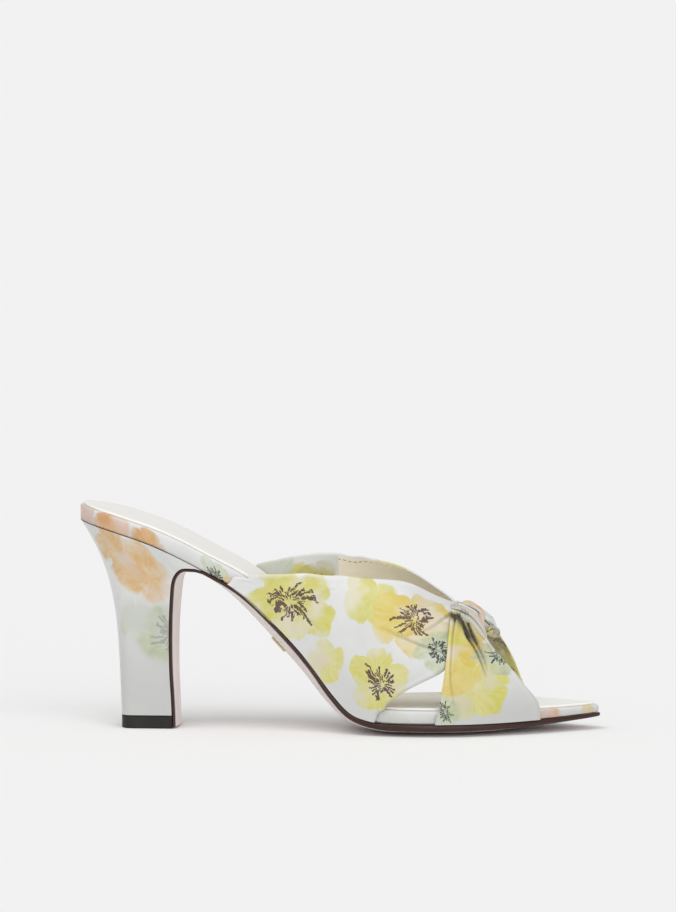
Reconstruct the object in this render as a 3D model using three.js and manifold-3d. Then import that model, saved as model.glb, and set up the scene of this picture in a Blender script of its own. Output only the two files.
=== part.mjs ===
// Block heel mule sandal for the right foot: crossed fabric straps knotted over the instep, a wrapped
// footbed, a leather outsole that runs down the heel's breast, and a covered block heel.
// Millimetres, +Z up, +X to the toe, +Y to the inner side of the foot.
// The origin is the middle of the heel's tread, on the floor.

import * as THREE from 'three';
import { mergeVertices } from 'three/addons/utils/BufferGeometryUtils.js';
import Module from 'manifold-3d';

const wasm = await Module();
wasm.setup();

// Lengths, widths and heights of the whole shoe
const shoeLength = 227; // back of the seat to the toe point, along the floor
const ballWidth = 76; // footbed across the ball of the foot
const seatHeight = 91.3; // floor to the underside of the footbed at its back
const instepDepth = 68; // footbed to the outside of the straps on the instep, straight up
const seatRound = 24; // length over which the back of the seat is rounded
const toeRound = 6; // length over which the toe point is rounded

// Heel and top piece
const treadLength = 22.9;
const treadWidth = 26;
const treadRound = 7; // length over which the back of the tread is rounded
const treadSquareness = 3.2; // superellipse power of the tread's back, where 2 is round
const heelSetback = 29.85; // back of the seat to the middle of the tread
const heelLipReach = 22; // middle of the tread to the thin front lip of the heel, under the seat
const topPieceHeight = 5.5;
const backTaper = 0.18; // share of the heel's overhang that runs straight; the rest is a curve
const backCurve = 4.5;
const sideTaper = 0.45;
const sideCurve = 4;

// Thicknesses
const gap = 0.3; // clearance between pieces that meet
const footbedThickness = 6.6;
const footbedEdgeRadius = 1.4;
const sockThickness = 1;
const sockMargin = 1.7; // wrapped edge left showing around the sock
const sockEdgeRadius = 0.5;
const outsoleThickness = 3; // at the edge, under the ball
const soleBelly = 5.6; // how far the underside bulges below its edges at the waist
const soleOverhang = 1.6; // outsole beyond the footbed, where the straps stand on it
const flapClearance = 0.8; // floor to the bottom edge of the leather on the breast
const strapWall = 1.7;
const overlapLift = 1.5; // how far a front strap's rear edge stands off to lie over the rear strap

// Knot
const knotRollWidth = 8.4;
const knotRollThickness = 6;

// Sole plate
const plateLength = 8.5;
const plateWidth = 16;
const plateThickness = 0.5;
const plateAlong = 0.409; // share of the shoe's length at the middle of the plate

const LATERAL = -1; // outer side of a right foot, towards -Y
const MEDIAL = 1;

// Plan outline of the footbed: half width and sideways shift of its middle, as shares of ballWidth,
// at shares of shoeLength from the back of the seat.
const planRows = [
  { along: 0.0, half: 0.325, shift: 0.0 },
  { along: 0.1, half: 0.33, shift: 0.0 },
  { along: 0.18, half: 0.325, shift: -0.005 },
  { along: 0.26, half: 0.31, shift: -0.015 },
  { along: 0.34, half: 0.295, shift: -0.03 },
  { along: 0.42, half: 0.2975, shift: -0.0475 },
  { along: 0.5, half: 0.3375, shift: -0.0575 },
  { along: 0.58, half: 0.41, shift: -0.05 },
  { along: 0.65, half: 0.4675, shift: -0.0275 },
  { along: 0.7, half: 0.485, shift: -0.005 },
  { along: 0.75, half: 0.47, shift: 0.015 },
  { along: 0.81, half: 0.4075, shift: 0.0325 },
  { along: 0.87, half: 0.315, shift: 0.045 },
  { along: 0.93, half: 0.1975, shift: 0.0525 },
  { along: 0.97, half: 0.1025, shift: 0.0575 },
  { along: 1.0, half: 0.0425, shift: 0.0625 },
];

// Side profile: rise of the footbed's underside as a share of seatHeight, its thickness as a share of
// footbedThickness, and the crown of the last above it as a share of instepDepth.
const profileRows = [
  { along: 0.0, rise: 1.0, board: 1.0, crown: 0.5 },
  { along: 0.07, rise: 0.956, board: 1.0, crown: 0.55 },
  { along: 0.15, rise: 0.889, board: 1.0, crown: 0.61 },
  { along: 0.24, rise: 0.781, board: 1.0, crown: 0.68 },
  { along: 0.33, rise: 0.651, board: 1.0, crown: 0.785 },
  { along: 0.4, rise: 0.487, board: 1.0, crown: 0.885 },
  { along: 0.46, rise: 0.321, board: 1.0, crown: 0.965 },
  { along: 0.5, rise: 0.19, board: 1.0, crown: 1.0 },
  { along: 0.53, rise: 0.113, board: 0.98, crown: 1.005 },
  { along: 0.57, rise: 0.072, board: 0.94, crown: 0.99 },
  { along: 0.63, rise: 0.0602, board: 0.9, crown: 0.9 },
  { along: 0.69, rise: 0.0602, board: 0.88, crown: 0.735 },
  { along: 0.75, rise: 0.0602, board: 0.85, crown: 0.573 },
  { along: 0.85, rise: 0.0635, board: 0.74, crown: 0.345 },
  { along: 0.93, rise: 0.072, board: 0.6, crown: 0.19 },
  { along: 1.0, rise: 0.082, board: 0.5, crown: 0.09 },
];

// Outsole from the waist to the toe: edge thickness, belly and overhang, as shares of
// outsoleThickness, soleBelly and soleOverhang.
const outsoleRows = [
  { along: 0.25, edge: 0.42, belly: 0.25, overhang: 0.0 },
  { along: 0.33, edge: 0.47, belly: 0.8, overhang: 0.5 },
  { along: 0.42, edge: 0.5, belly: 1.0, overhang: 0.8 },
  { along: 0.5, edge: 0.6, belly: 0.85, overhang: 0.95 },
  { along: 0.57, edge: 0.8, belly: 0.6, overhang: 1.0 },
  { along: 0.65, edge: 0.93, belly: 0.57, overhang: 1.0 },
  { along: 0.75, edge: 0.93, belly: 0.57, overhang: 1.0 },
  { along: 0.85, edge: 0.8, belly: 0.3, overhang: 0.9 },
  { along: 0.93, edge: 0.67, belly: 0.1, overhang: 0.6 },
  { along: 1.0, edge: 0.55, belly: 0.015, overhang: 0.3 },
];

// Leather on the breast, from the floor up and over to the waist: distance forward of the tread as a
// share of the way to the waist joint, and rise as a share of the joint's height.
const breastJoint = 0.25; // share of shoeLength where the breast leather becomes the sole
const breastRows = [
  { step: 0, forward: 0.0, rise: 0.0 },
  { step: 1, forward: -0.023, rise: 0.17 },
  { step: 2, forward: -0.062, rise: 0.343 },
  { step: 3, forward: -0.072, rise: 0.515 },
  { step: 4, forward: -0.056, rise: 0.672 },
  { step: 5, forward: -0.016, rise: 0.815 },
  { step: 6, forward: 0.05, rise: 0.93 },
  { step: 7, forward: 0.2, rise: 0.991 },
  { step: 8, forward: 0.43, rise: 1.016 },
  { step: 9, forward: 0.71, rise: 1.015 },
  { step: 10, forward: 1.0, rise: 1.0 },
];
const breastEdge = 0.4; // share of outsoleThickness on the breast
const breastBelly = 0.15; // share of soleBelly on the breast

// Straps on the last. girth is -1 on the outsole, 0 at the footbed's top edge and 1 on the crown of
// the last; rear and front are the strap's edges there, as shares of shoeLength.
const rearLateralStrap = [
  { girth: -1.0, rear: 0.295, front: 0.583 },
  { girth: 0.0, rear: 0.334, front: 0.603 },
  { girth: 0.08, rear: 0.374, front: 0.65 },
  { girth: 0.19, rear: 0.425, front: 0.706 },
  { girth: 0.34, rear: 0.489, front: 0.726 },
  { girth: 0.5, rear: 0.534, front: 0.734 },
  { girth: 0.64, rear: 0.618, front: 0.738 },
  { girth: 0.79, rear: 0.688, front: 0.744 },
  { girth: 1.0, rear: 0.72, front: 0.757 },
  { girth: 1.12, rear: 0.723, front: 0.76 },
];
const rearMedialStrap = [
  { girth: -1.0, rear: 0.297, front: 0.575 },
  { girth: 0.0, rear: 0.328, front: 0.597 },
  { girth: 0.08, rear: 0.363, front: 0.636 },
  { girth: 0.19, rear: 0.404, front: 0.69 },
  { girth: 0.34, rear: 0.466, front: 0.721 },
  { girth: 0.5, rear: 0.516, front: 0.731 },
  { girth: 0.64, rear: 0.556, front: 0.737 },
  { girth: 0.79, rear: 0.656, front: 0.742 },
  { girth: 1.0, rear: 0.719, front: 0.757 },
  { girth: 1.12, rear: 0.722, front: 0.76 },
];
const frontLateralStrap = [
  { girth: -1.0, rear: 0.697, front: 0.89 },
  { girth: 0.0, rear: 0.705, front: 0.889 },
  { girth: 0.15, rear: 0.712, front: 0.88 },
  { girth: 0.29, rear: 0.716, front: 0.86 },
  { girth: 0.44, rear: 0.718, front: 0.838 },
  { girth: 0.57, rear: 0.719, front: 0.81 },
  { girth: 0.72, rear: 0.72, front: 0.786 },
  { girth: 1.0, rear: 0.725, front: 0.785 },
  { girth: 1.12, rear: 0.727, front: 0.786 },
];
const frontMedialStrap = [
  { girth: -1.0, rear: 0.688, front: 0.855 },
  { girth: 0.0, rear: 0.696, front: 0.852 },
  { girth: 0.21, rear: 0.708, front: 0.838 },
  { girth: 0.4, rear: 0.715, front: 0.826 },
  { girth: 0.59, rear: 0.719, front: 0.811 },
  { girth: 0.8, rear: 0.722, front: 0.799 },
  { girth: 1.0, rear: 0.725, front: 0.798 },
  { girth: 1.12, rear: 0.727, front: 0.795 },
];

// The two rolls of the knot, from their tucked rear ends to their front ends. over is the height of
// the roll's middle above the straps, wide and thick are shares of knotRollWidth and knotRollThickness.
const nearRoll = [
  { step: 0, along: 0.716, girth: 0.77, over: 0.6, wide: 1.05, thick: 0.7 },
  { step: 1, along: 0.733, girth: 0.79, over: 1.2, wide: 1.1, thick: 0.95 },
  { step: 2, along: 0.751, girth: 0.78, over: 1.5, wide: 1.0, thick: 1.0 },
  { step: 3, along: 0.768, girth: 0.73, over: 1.2, wide: 0.8, thick: 0.85 },
  { step: 4, along: 0.785, girth: 0.66, over: 0.5, wide: 0.45, thick: 0.5 },
];
const farRoll = [
  { step: 0, along: 0.724, girth: 1.0, over: 0.2, wide: 1.1, thick: 0.6 },
  { step: 1, along: 0.742, girth: 1.01, over: 0.9, wide: 1.6, thick: 0.9 },
  { step: 2, along: 0.762, girth: 1.02, over: 1.4, wide: 1.8, thick: 1.1 },
  { step: 3, along: 0.781, girth: 1.01, over: 1.5, wide: 1.7, thick: 1.1 },
  { step: 4, along: 0.797, girth: 1.0, over: 0.8, wide: 1.2, thick: 0.8 },
];

const lastSquareness = 2.3; // superellipse power of the last's cross-section
const lastRidge = 0.04; // crown of the last towards the inner side, as a share of ballWidth

// How finely the pieces are cut
const roundSteps = 6;
const lengthSteps = 34;
const heelSteps = 14;
const breastSteps = 26;
const girthSteps = 20;
const strapSteps = 11;
const rollSteps = 12;
const rollSides = 12;

const lerp = THREE.MathUtils.lerp;
const clamp = THREE.MathUtils.clamp;

// Smooth curve through one column of a table. The slope at each row is taken from its neighbours and
// held back where it would swing past them.
function column(rows, key, name) {
  const slopeBetween = (i) =>
    (rows[i + 1][name] - rows[i][name]) / (rows[i + 1][key] - rows[i][key]);
  const last = rows.length - 1;
  const slopes = rows.map((row, i) => {
    if (i === 0) return slopeBetween(0);
    if (i === last) return slopeBetween(last - 1);
    const before = row[key] - rows[i - 1][key];
    const after = rows[i + 1][key] - row[key];
    const sides = [slopeBetween(i - 1), slopeBetween(i)];
    if (sides[0] * sides[1] <= 0) return 0;
    const blend = (sides[0] * after + sides[1] * before) / (before + after);
    return Math.sign(blend) * Math.min(Math.abs(blend), ...sides.map((side) => 3 * Math.abs(side)));
  });
  return (at) => {
    const i = clamp(rows.findIndex((row) => row[key] > at) - 1, 0, last - 1);
    const from = at >= rows[last][key] ? last - 1 : i;
    const span = rows[from + 1][key] - rows[from][key];
    const t = clamp((at - rows[from][key]) / span, 0, 1);
    const beyond = at - clamp(at, rows[0][key], rows[last][key]);
    const a = rows[from][name];
    const b = rows[from + 1][name];
    const h = t * t * (3 - 2 * t);
    const pull = t * (1 - t) * ((1 - t) * slopes[from] - t * slopes[from + 1]) * span;
    return a + (b - a) * h + pull + beyond * slopes[at < rows[0][key] ? 0 : last];
  };
}

const planHalf = column(planRows, 'along', 'half');
const planShift = column(planRows, 'along', 'shift');
const profileRise = column(profileRows, 'along', 'rise');
const profileBoard = column(profileRows, 'along', 'board');
const profileCrown = column(profileRows, 'along', 'crown');

const alongOf = (x) => (x + heelSetback) / shoeLength;
const forwardOf = (along) => along * shoeLength - heelSetback;

// Underside of the footbed, which is flat across, and its slope.
const undersideZ = (x) => seatHeight * profileRise(alongOf(x));
function slopeAt(x) {
  const reach = 0.5;
  return (undersideZ(x + reach) - undersideZ(x - reach)) / (2 * reach);
}
const steepness = (x) => Math.hypot(1, slopeAt(x)); // straight-up length of 1 mm measured square on
const footbedTopZ = (x) => undersideZ(x) + footbedThickness * profileBoard(alongOf(x)) * steepness(x);
const outsoleTopZ = (x) => undersideZ(x) - gap * steepness(x);

// Share of the full half width left at a distance from a rounded end.
function endRound(distance, length, power = 2) {
  const left = clamp(1 - distance / length, 0, 1);
  return (1 - left ** power) ** (1 / power);
}

// Point of the plan outline on one side, moved outwards by an offset square to the outline.
function rail(side, along, offset = 0) {
  const at = (share) => {
    const distance = share * shoeLength;
    const round = endRound(distance, seatRound) * endRound(shoeLength - distance, toeRound);
    return new THREE.Vector2(
      forwardOf(share),
      ballWidth * (planShift(share) + side * planHalf(share) * round),
    );
  };
  const step = 1e-5;
  const point = at(along);
  const heading = at(Math.min(along + step, 1)).sub(at(Math.max(along - step, 0))).normalize();
  return point.add(new THREE.Vector2(-heading.y, heading.x).multiplyScalar(side * offset));
}

// Shares of shoeLength for cross-sections, closer together where an end is rounded.
function stations(from = 0) {
  const firstAngle = THREE.MathUtils.degToRad(4);
  const turn = (i) => lerp(firstAngle, Math.PI / 2, i / roundSteps);
  const backEnd = seatRound / shoeLength;
  const toeStart = 1 - toeRound / shoeLength;
  const list = [];
  if (from === 0) {
    for (let i = 0; i < roundSteps; i++) list.push(backEnd * (1 - Math.cos(turn(i))));
  }
  const start = Math.max(from, backEnd);
  for (let i = 0; i < lengthSteps; i++) list.push(lerp(start, toeStart, i / lengthSteps));
  for (let i = roundSteps; i >= 0; i--) list.push(1 - (1 - toeStart) * (1 - Math.cos(turn(i))));
  return list;
}

// Closed surface through rings of equal count. Each ring runs out along one face and back along the
// other, so the first and last rings are closed by joining each point to the one across from it.
function skin(rings) {
  const count = rings[0].length;
  const index = [];
  const corner = (ring, k) => ring * count + ((k + count) % count);
  for (let r = 0; r + 1 < rings.length; r++) {
    for (let k = 0; k < count; k++) {
      index.push(corner(r, k), corner(r, k + 1), corner(r + 1, k + 1));
      index.push(corner(r, k), corner(r + 1, k + 1), corner(r + 1, k));
    }
  }
  const cap = (ring, flip) => {
    for (let k = 0; k < count / 2 - 1; k++) {
      const quad = [k, k + 1, count - 2 - k, count - 1 - k].map((n) => corner(ring, n));
      if (flip) quad.reverse();
      index.push(quad[0], quad[2], quad[1], quad[0], quad[3], quad[2]);
    }
  };
  cap(0, false);
  cap(rings.length - 1, true);
  const geometry = new THREE.BufferGeometry();
  const numbers = rings.flat().flatMap((p) => [p.x, p.y, p.z]);
  geometry.setAttribute('position', new THREE.Float32BufferAttribute(numbers, 3));
  geometry.setIndex(index);
  return geometry;
}

// A closed geometry as a solid for cutting and joining, turned right side out if need be.
function solid(geometry) {
  const bare = geometry.clone();
  bare.deleteAttribute('normal');
  bare.deleteAttribute('uv');
  const merged = mergeVertices(bare, 1e-4);
  const triVerts = new Uint32Array(merged.index.array);
  const vertProperties = new Float32Array(merged.attributes.position.array);
  const make = () => new wasm.Manifold(new wasm.Mesh({ numProp: 3, vertProperties, triVerts }));
  const made = make();
  if (made.volume() > 0) return made;
  triVerts.reverse();
  return make();
}

function geometryOf(made) {
  const mesh = made.getMesh();
  const geometry = new THREE.BufferGeometry();
  geometry.setAttribute('position', new THREE.BufferAttribute(mesh.vertProperties, 3));
  geometry.setIndex(new THREE.BufferAttribute(mesh.triVerts, 1));
  geometry.computeVertexNormals();
  return geometry;
}

// Block that is cut away, with its outline in the side view and running right across the shoe.
function cutter(outline) {
  const shape = new THREE.Shape(outline.map(([x, z]) => new THREE.Vector2(x, z)));
  const block = new THREE.ExtrudeGeometry(shape, { depth: 2 * ballWidth, bevelEnabled: false });
  block.rotateX(Math.PI / 2);
  block.translate(0, ballWidth, 0);
  return solid(block);
}

// Board that follows the plan outline, with rounded upper edges.
function board({ outset, edgeRadius, topZ, bottomZ }) {
  const easing = [
    { inset: 0, drop: 1 },
    { inset: 0.29, drop: 0.29 },
    { inset: 1, drop: 0 },
  ];
  const inner = [0.25, 0.5, 0.75];
  const rings = stations().map((along) => {
    const edge = (side) =>
      easing.map(({ inset, drop }) => ({
        at: rail(side, along, outset - inset * edgeRadius),
        drop: drop * edgeRadius,
      }));
    const lateral = edge(LATERAL);
    const medial = edge(MEDIAL).reverse();
    const middle = inner.map((share) => ({
      at: lateral[2].at.clone().lerp(medial[0].at, share),
      drop: 0,
    }));
    const across = [...lateral, ...middle, ...medial];
    const top = across.map(({ at, drop }) => new THREE.Vector3(at.x, at.y, topZ(at.x) - drop));
    const bottom = across.map(({ at }) => new THREE.Vector3(at.x, at.y, bottomZ(at.x)));
    return [...bottom, ...top.reverse()];
  });
  return geometryOf(solid(skin(rings)));
}

// Board wrapped in the upper's fabric, which the foot stands on.
function footbed() {
  return board({
    outset: 0,
    edgeRadius: footbedEdgeRadius,
    topZ: footbedTopZ,
    bottomZ: undersideZ,
  });
}

// Thin leather lining laid on the footbed, inside its wrapped edge.
function sock() {
  const under = (x) => footbedTopZ(x) + gap * steepness(x);
  return board({
    outset: -sockMargin,
    edgeRadius: sockEdgeRadius,
    topZ: (x) => under(x) + sockThickness * steepness(x),
    bottomZ: under,
  });
}

// Half width of the heel at a place in the side view, tapering from the seat to the tread.
const heelRise = (x, z) =>
  clamp((z - topPieceHeight - gap) / (undersideZ(x) - topPieceHeight - gap), 0, 1);
const eased = (rise, taper, power) => taper * rise + (1 - taper) * rise ** power;
const heelBack = (rise) =>
  lerp(-treadLength / 2, -heelSetback, eased(rise, backTaper, backCurve));
function heelHalf(x, rise) {
  const seat = ballWidth * planHalf(alongOf(x));
  return lerp(treadWidth / 2, seat, eased(rise, sideTaper, sideCurve));
}
const heelMiddle = (x, rise) => ballWidth * planShift(alongOf(x)) * rise;

// One level of the heel: out along the outer side to the back, and forward along the inner side.
function heelRing(rise, front, heightAt) {
  const back = heelBack(rise);
  const length = lerp(treadRound, seatRound, eased(rise, backTaper, backCurve));
  const power = lerp(treadSquareness, 2, rise);
  const straightSteps = 8;
  const places = [];
  for (let i = 0; i < straightSteps; i++) {
    places.push({ x: lerp(front, back + length, i / straightSteps), round: 1 });
  }
  for (let i = 0; i <= roundSteps; i++) {
    const turn = lerp(Math.PI / 2, THREE.MathUtils.degToRad(4), i / roundSteps);
    const distance = length * (1 - Math.cos(turn) ** (2 / power));
    places.push({ x: back + distance, round: endRound(distance, length, power) });
  }
  const side = (sign) =>
    places.map(({ x, round }) => {
      const y = heelMiddle(x, rise) + sign * heelHalf(x, rise) * round;
      return new THREE.Vector3(x, y, heightAt(x));
    });
  return [...side(LATERAL), ...side(MEDIAL).reverse()];
}

// Inner line of the leather on the breast, from the floor up and over to the waist.
const breastForward = column(breastRows, 'step', 'forward');
const breastRise = column(breastRows, 'step', 'rise');
const breastLastStep = breastRows.length - 1;
function breastPoint(step) {
  const front = treadLength / 2 + gap;
  const jointX = forwardOf(breastJoint);
  return new THREE.Vector2(
    lerp(front, jointX, breastForward(step)),
    lerp(flapClearance, outsoleTopZ(jointX), breastRise(step)),
  );
}
function breastFacing(step) {
  const reach = 0.05;
  const run = breastPoint(step + reach).sub(breastPoint(step - reach)).normalize();
  return new THREE.Vector2(run.y, -run.x);
}

// Covered block heel: a blank that flares to the seat, cut by the seat above and the breast in front.
function heel() {
  const base = topPieceHeight + gap;
  const rings = [];
  for (let i = 0; i <= heelSteps; i++) {
    const rise = i / heelSteps;
    rings.push(heelRing(rise, heelLipReach, (x) => lerp(base, undersideZ(x), rise)));
  }
  const spare = 3;
  rings.push(heelRing(1, heelLipReach, (x) => undersideZ(x) + spare));

  const beyond = 20; // how far the cutters reach past the heel
  const seatLine = [];
  for (let x = -heelSetback - beyond; x <= heelLipReach + beyond; x += 4) {
    seatLine.push([x, outsoleTopZ(x)]);
  }
  const top = seatHeight + beyond;
  const seat = [...seatLine, [heelLipReach + beyond, top], [-heelSetback - beyond, top]];

  const breast = [];
  for (let i = 0; i <= breastSteps; i++) {
    const step = (breastLastStep * i) / breastSteps;
    const point = breastPoint(step).sub(breastFacing(step).multiplyScalar(gap));
    breast.push([point.x, point.y]);
  }
  const foot = [breast[0][0], -beyond];
  const ahead = forwardOf(breastJoint) + beyond;
  const tunnel = [foot, ...breast, [ahead, breast.at(-1)[1]], [ahead, -beyond]];
  return geometryOf(solid(skin(rings)).subtract(cutter(seat)).subtract(cutter(tunnel)));
}

// Rubber top piece under the heel, cut to the heel's own outline.
function topPiece() {
  const level = (z) => heelRing(0, treadLength / 2, () => z);
  return geometryOf(solid(skin([level(0), level(topPieceHeight)])));
}

const outsoleEdge = column(outsoleRows, 'along', 'edge');
const outsoleBelly = column(outsoleRows, 'along', 'belly');
const outsoleReach = column(outsoleRows, 'along', 'overhang');
const bellyAt = (across) => 1 - across ** 2;

// Point of the sole from waist to toe. across is -1 at the outer edge and 1 at the inner edge, and
// depth is 0 on its upper face and 1 on its underside; below goes on past the underside.
function solePoint(along, across, depth, below = 0) {
  const overhang = soleOverhang * outsoleReach(along);
  const flat = rail(LATERAL, along, overhang).lerp(
    rail(MEDIAL, along, overhang),
    (across + 1) / 2,
  );
  const full =
    outsoleThickness * outsoleEdge(along) + soleBelly * outsoleBelly(along) * bellyAt(across);
  const slope = slopeAt(flat.x);
  const facing = new THREE.Vector3(slope, 0, -1).normalize();
  return new THREE.Vector3(flat.x, flat.y, outsoleTopZ(flat.x)).addScaledVector(
    facing,
    depth * full + below,
  );
}

// Point of the leather on the breast, as wide as the heel is there.
function flapPoint(step, across, depth) {
  const inner = breastPoint(step);
  const facing = breastFacing(step);
  const rise = heelRise(inner.x, inner.y);
  const full = outsoleThickness * breastEdge + soleBelly * breastBelly * bellyAt(across);
  return new THREE.Vector3(
    inner.x + facing.x * full * depth,
    heelMiddle(inner.x, rise) + across * heelHalf(inner.x, rise),
    inner.y + facing.y * full * depth,
  );
}

// Leather outsole: down the breast of the heel, along the waist and forepart to the toe, and flat
// where the ball meets the floor.
function outsole() {
  const acrossPlaces = [-1, -0.9, -0.7, -0.45, -0.2, 0.2, 0.45, 0.7, 0.9, 1];
  const ring = (pointAt) => [
    ...acrossPlaces.map((across) => pointAt(across, 1)),
    ...acrossPlaces.map((across) => pointAt(across, 0)).reverse(),
  ];
  const rings = [];
  for (let i = 0; i < breastSteps; i++) {
    const step = (breastLastStep * i) / breastSteps;
    rings.push(ring((across, depth) => flapPoint(step, across, depth)));
  }
  for (const along of stations(breastJoint)) {
    rings.push(ring((across, depth) => solePoint(along, across, depth)));
  }
  const below = 10;
  const floor = [
    [-shoeLength, 0],
    [2 * shoeLength, 0],
    [2 * shoeLength, -below],
    [-shoeLength, -below],
  ];
  return geometryOf(solid(skin(rings)).subtract(cutter(floor)));
}

// Small plain metal plate fixed under the waist, bent to the sole's belly.
function solePlate() {
  const lengthwise = 4;
  const sideways = 6;
  const middle = forwardOf(plateAlong);
  const along = plateLength / steepness(middle) / shoeLength;
  const halfSole = ballWidth * planHalf(plateAlong) + soleOverhang * outsoleReach(plateAlong);
  const rings = [];
  for (let i = 0; i <= lengthwise; i++) {
    const at = plateAlong + along * (i / lengthwise - 0.5);
    const face = (below) =>
      Array.from({ length: sideways + 1 }, (_, k) => {
        const across = (plateWidth / 2 / halfSole) * ((2 * k) / sideways - 1);
        return solePoint(at, across, 1, below);
      });
    rings.push([...face(gap), ...face(gap + plateThickness).reverse()]);
  }
  return geometryOf(solid(skin(rings)));
}

// Point on the last, offset outwards. side is the side of the foot that girth counts from, and past
// the crown the girth goes on down the other side.
function lastPoint(side, along, girth, offset) {
  const near = girth <= 1 ? side : -side;
  const turn = girth <= 1 ? girth : 2 - girth;
  const edge = rail(near, along, offset);
  const top = footbedTopZ(edge.x);
  if (turn <= 0) return new THREE.Vector3(edge.x, edge.y, lerp(top, undersideZ(edge.x), -turn));
  const ridge = ballWidth * (planShift(along) + lastRidge);
  const power = 2 / lastSquareness;
  const angle = (turn * Math.PI) / 2;
  const crown = instepDepth * profileCrown(along) - gap - strapWall + offset;
  return new THREE.Vector3(
    edge.x,
    lerp(ridge, edge.y, Math.cos(angle) ** power),
    top + crown * Math.sin(angle) ** power,
  );
}

// One strap as a bent slab on the last. lift raises its rear edge, so that it lies over another.
function strap(rows, side, stand, lift) {
  const rear = column(rows, 'girth', 'rear');
  const front = column(rows, 'girth', 'front');
  const first = rows[0].girth;
  const last = rows.at(-1).girth;
  const girths = [first, first / 2];
  for (let i = 0; i <= girthSteps; i++) girths.push(last * (i / girthSteps) ** 1.4);
  return solid(
    skin(
      girths.map((girth) => {
        const face = (wall) =>
          Array.from({ length: strapSteps + 1 }, (_, k) => {
            const share = k / strapSteps;
            const turn = clamp(girth, 0, 1);
            const raised = lift * 4 * turn * (1 - turn) * (1 - share) ** 2;
            const along = lerp(rear(girth), front(girth), share);
            return lastPoint(side, along, girth, gap + stand + raised + wall);
          });
        return [...face(0), ...face(strapWall).reverse()];
      }),
    ),
  );
}

// One roll of the knot: an oval tube lying over the straps, thinner at its tucked ends.
function roll(rows) {
  const at = Object.fromEntries(
    ['along', 'girth', 'over', 'wide', 'thick'].map((name) => [name, column(rows, 'step', name)]),
  );
  const above = gap + strapWall;
  const middle = (step, extra = 0) =>
    lastPoint(LATERAL, at.along(step), at.girth(step), above + at.over(step) + extra);
  const rings = [];
  for (let i = 0; i <= rollSteps; i++) {
    const step = ((rows.length - 1) * i) / rollSteps;
    const reach = 0.1;
    const run = middle(step + reach).sub(middle(step - reach)).normalize();
    const up = middle(step, 1).sub(middle(step));
    up.addScaledVector(run, -up.dot(run)).normalize();
    const out = run.clone().cross(up);
    const endFade = Math.sin(Math.PI * clamp(i / rollSteps, 0.01, 0.99)) ** 0.4;
    rings.push(
      Array.from({ length: rollSides }, (_, k) => {
        const turn = (2 * Math.PI * (k + 0.5)) / rollSides;
        const wide = (knotRollWidth / 2) * at.wide(step) * endFade;
        const thick = (knotRollThickness / 2) * at.thick(step) * endFade;
        return middle(step)
          .addScaledVector(out, wide * Math.cos(turn))
          .addScaledVector(up, thick * Math.sin(turn));
      }),
    );
  }
  return solid(skin(rings));
}

// Upper: four straps crossing on the instep and the knot that ties them, as one hollow solid.
function upper() {
  const layer = 0.25; // each strap stands this much further off the last than the one before
  const straps = [
    strap(rearLateralStrap, LATERAL, 0, 0),
    strap(rearMedialStrap, MEDIAL, layer, 0),
    strap(frontLateralStrap, LATERAL, 2 * layer, overlapLift),
    strap(frontMedialStrap, MEDIAL, 3 * layer, overlapLift),
  ];
  const rolls = [roll(nearRoll), roll(farRoll)];
  return geometryOf([...straps, ...rolls].reduce((whole, piece) => whole.add(piece)));
}

const finishes = {
  satin: new THREE.MeshStandardMaterial({ color: '#e4e6e8', roughness: 0.42, metalness: 0 }),
  heelSatin: new THREE.MeshStandardMaterial({ color: '#dfe1e3', roughness: 0.45, metalness: 0 }),
  lining: new THREE.MeshStandardMaterial({ color: '#f0ece4', roughness: 0.6, metalness: 0 }),
  leather: new THREE.MeshStandardMaterial({ color: '#d9c6be', roughness: 0.5, metalness: 0 }),
  rubber: new THREE.MeshStandardMaterial({ color: '#2c2422', roughness: 0.6, metalness: 0 }),
  gilt: new THREE.MeshStandardMaterial({ color: '#c9a85a', roughness: 0.3, metalness: 1 }),
};

const sandal = new THREE.Group();
const pieces = [
  ['outsole', outsole(), finishes.leather],
  ['footbed', footbed(), finishes.satin],
  ['sock', sock(), finishes.lining],
  ['heel', heel(), finishes.heelSatin],
  ['top_piece', topPiece(), finishes.rubber],
  ['upper', upper(), finishes.satin],
  ['sole_plate', solePlate(), finishes.gilt],
];
for (const [name, geometry, material] of pieces) {
  const mesh = new THREE.Mesh(geometry, material);
  mesh.name = name;
  sandal.add(mesh);
}

export default sandal;
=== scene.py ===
import bisect
import functools
import math

import bmesh
import bpy
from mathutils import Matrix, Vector


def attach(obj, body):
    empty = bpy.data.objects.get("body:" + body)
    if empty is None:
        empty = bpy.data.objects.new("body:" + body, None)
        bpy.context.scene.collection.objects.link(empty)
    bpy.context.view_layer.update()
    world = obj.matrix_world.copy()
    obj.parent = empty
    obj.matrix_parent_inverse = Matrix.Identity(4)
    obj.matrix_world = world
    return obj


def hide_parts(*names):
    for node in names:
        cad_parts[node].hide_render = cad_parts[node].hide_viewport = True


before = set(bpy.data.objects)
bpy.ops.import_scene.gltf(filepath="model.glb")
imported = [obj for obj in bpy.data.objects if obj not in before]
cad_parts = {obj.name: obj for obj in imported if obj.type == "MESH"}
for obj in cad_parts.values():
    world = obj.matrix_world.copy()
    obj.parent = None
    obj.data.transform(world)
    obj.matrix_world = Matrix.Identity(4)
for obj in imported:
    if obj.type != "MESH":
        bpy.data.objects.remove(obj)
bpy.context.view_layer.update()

# Footbed. A stiff board bent to the arch, thinner towards the toe, wrapped in the straps' printed
# satin. The satin is drawn over the softly rounded top edge and glued down under the sock.
MM = 0.001
LENGTH = 227.0
BALL_WIDTH = 76.0
SEAT_HEIGHT = 91.3
SEAT_ROUND = 24.0
TOE_ROUND = 6.0
HEEL_SETBACK = 29.85
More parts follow.
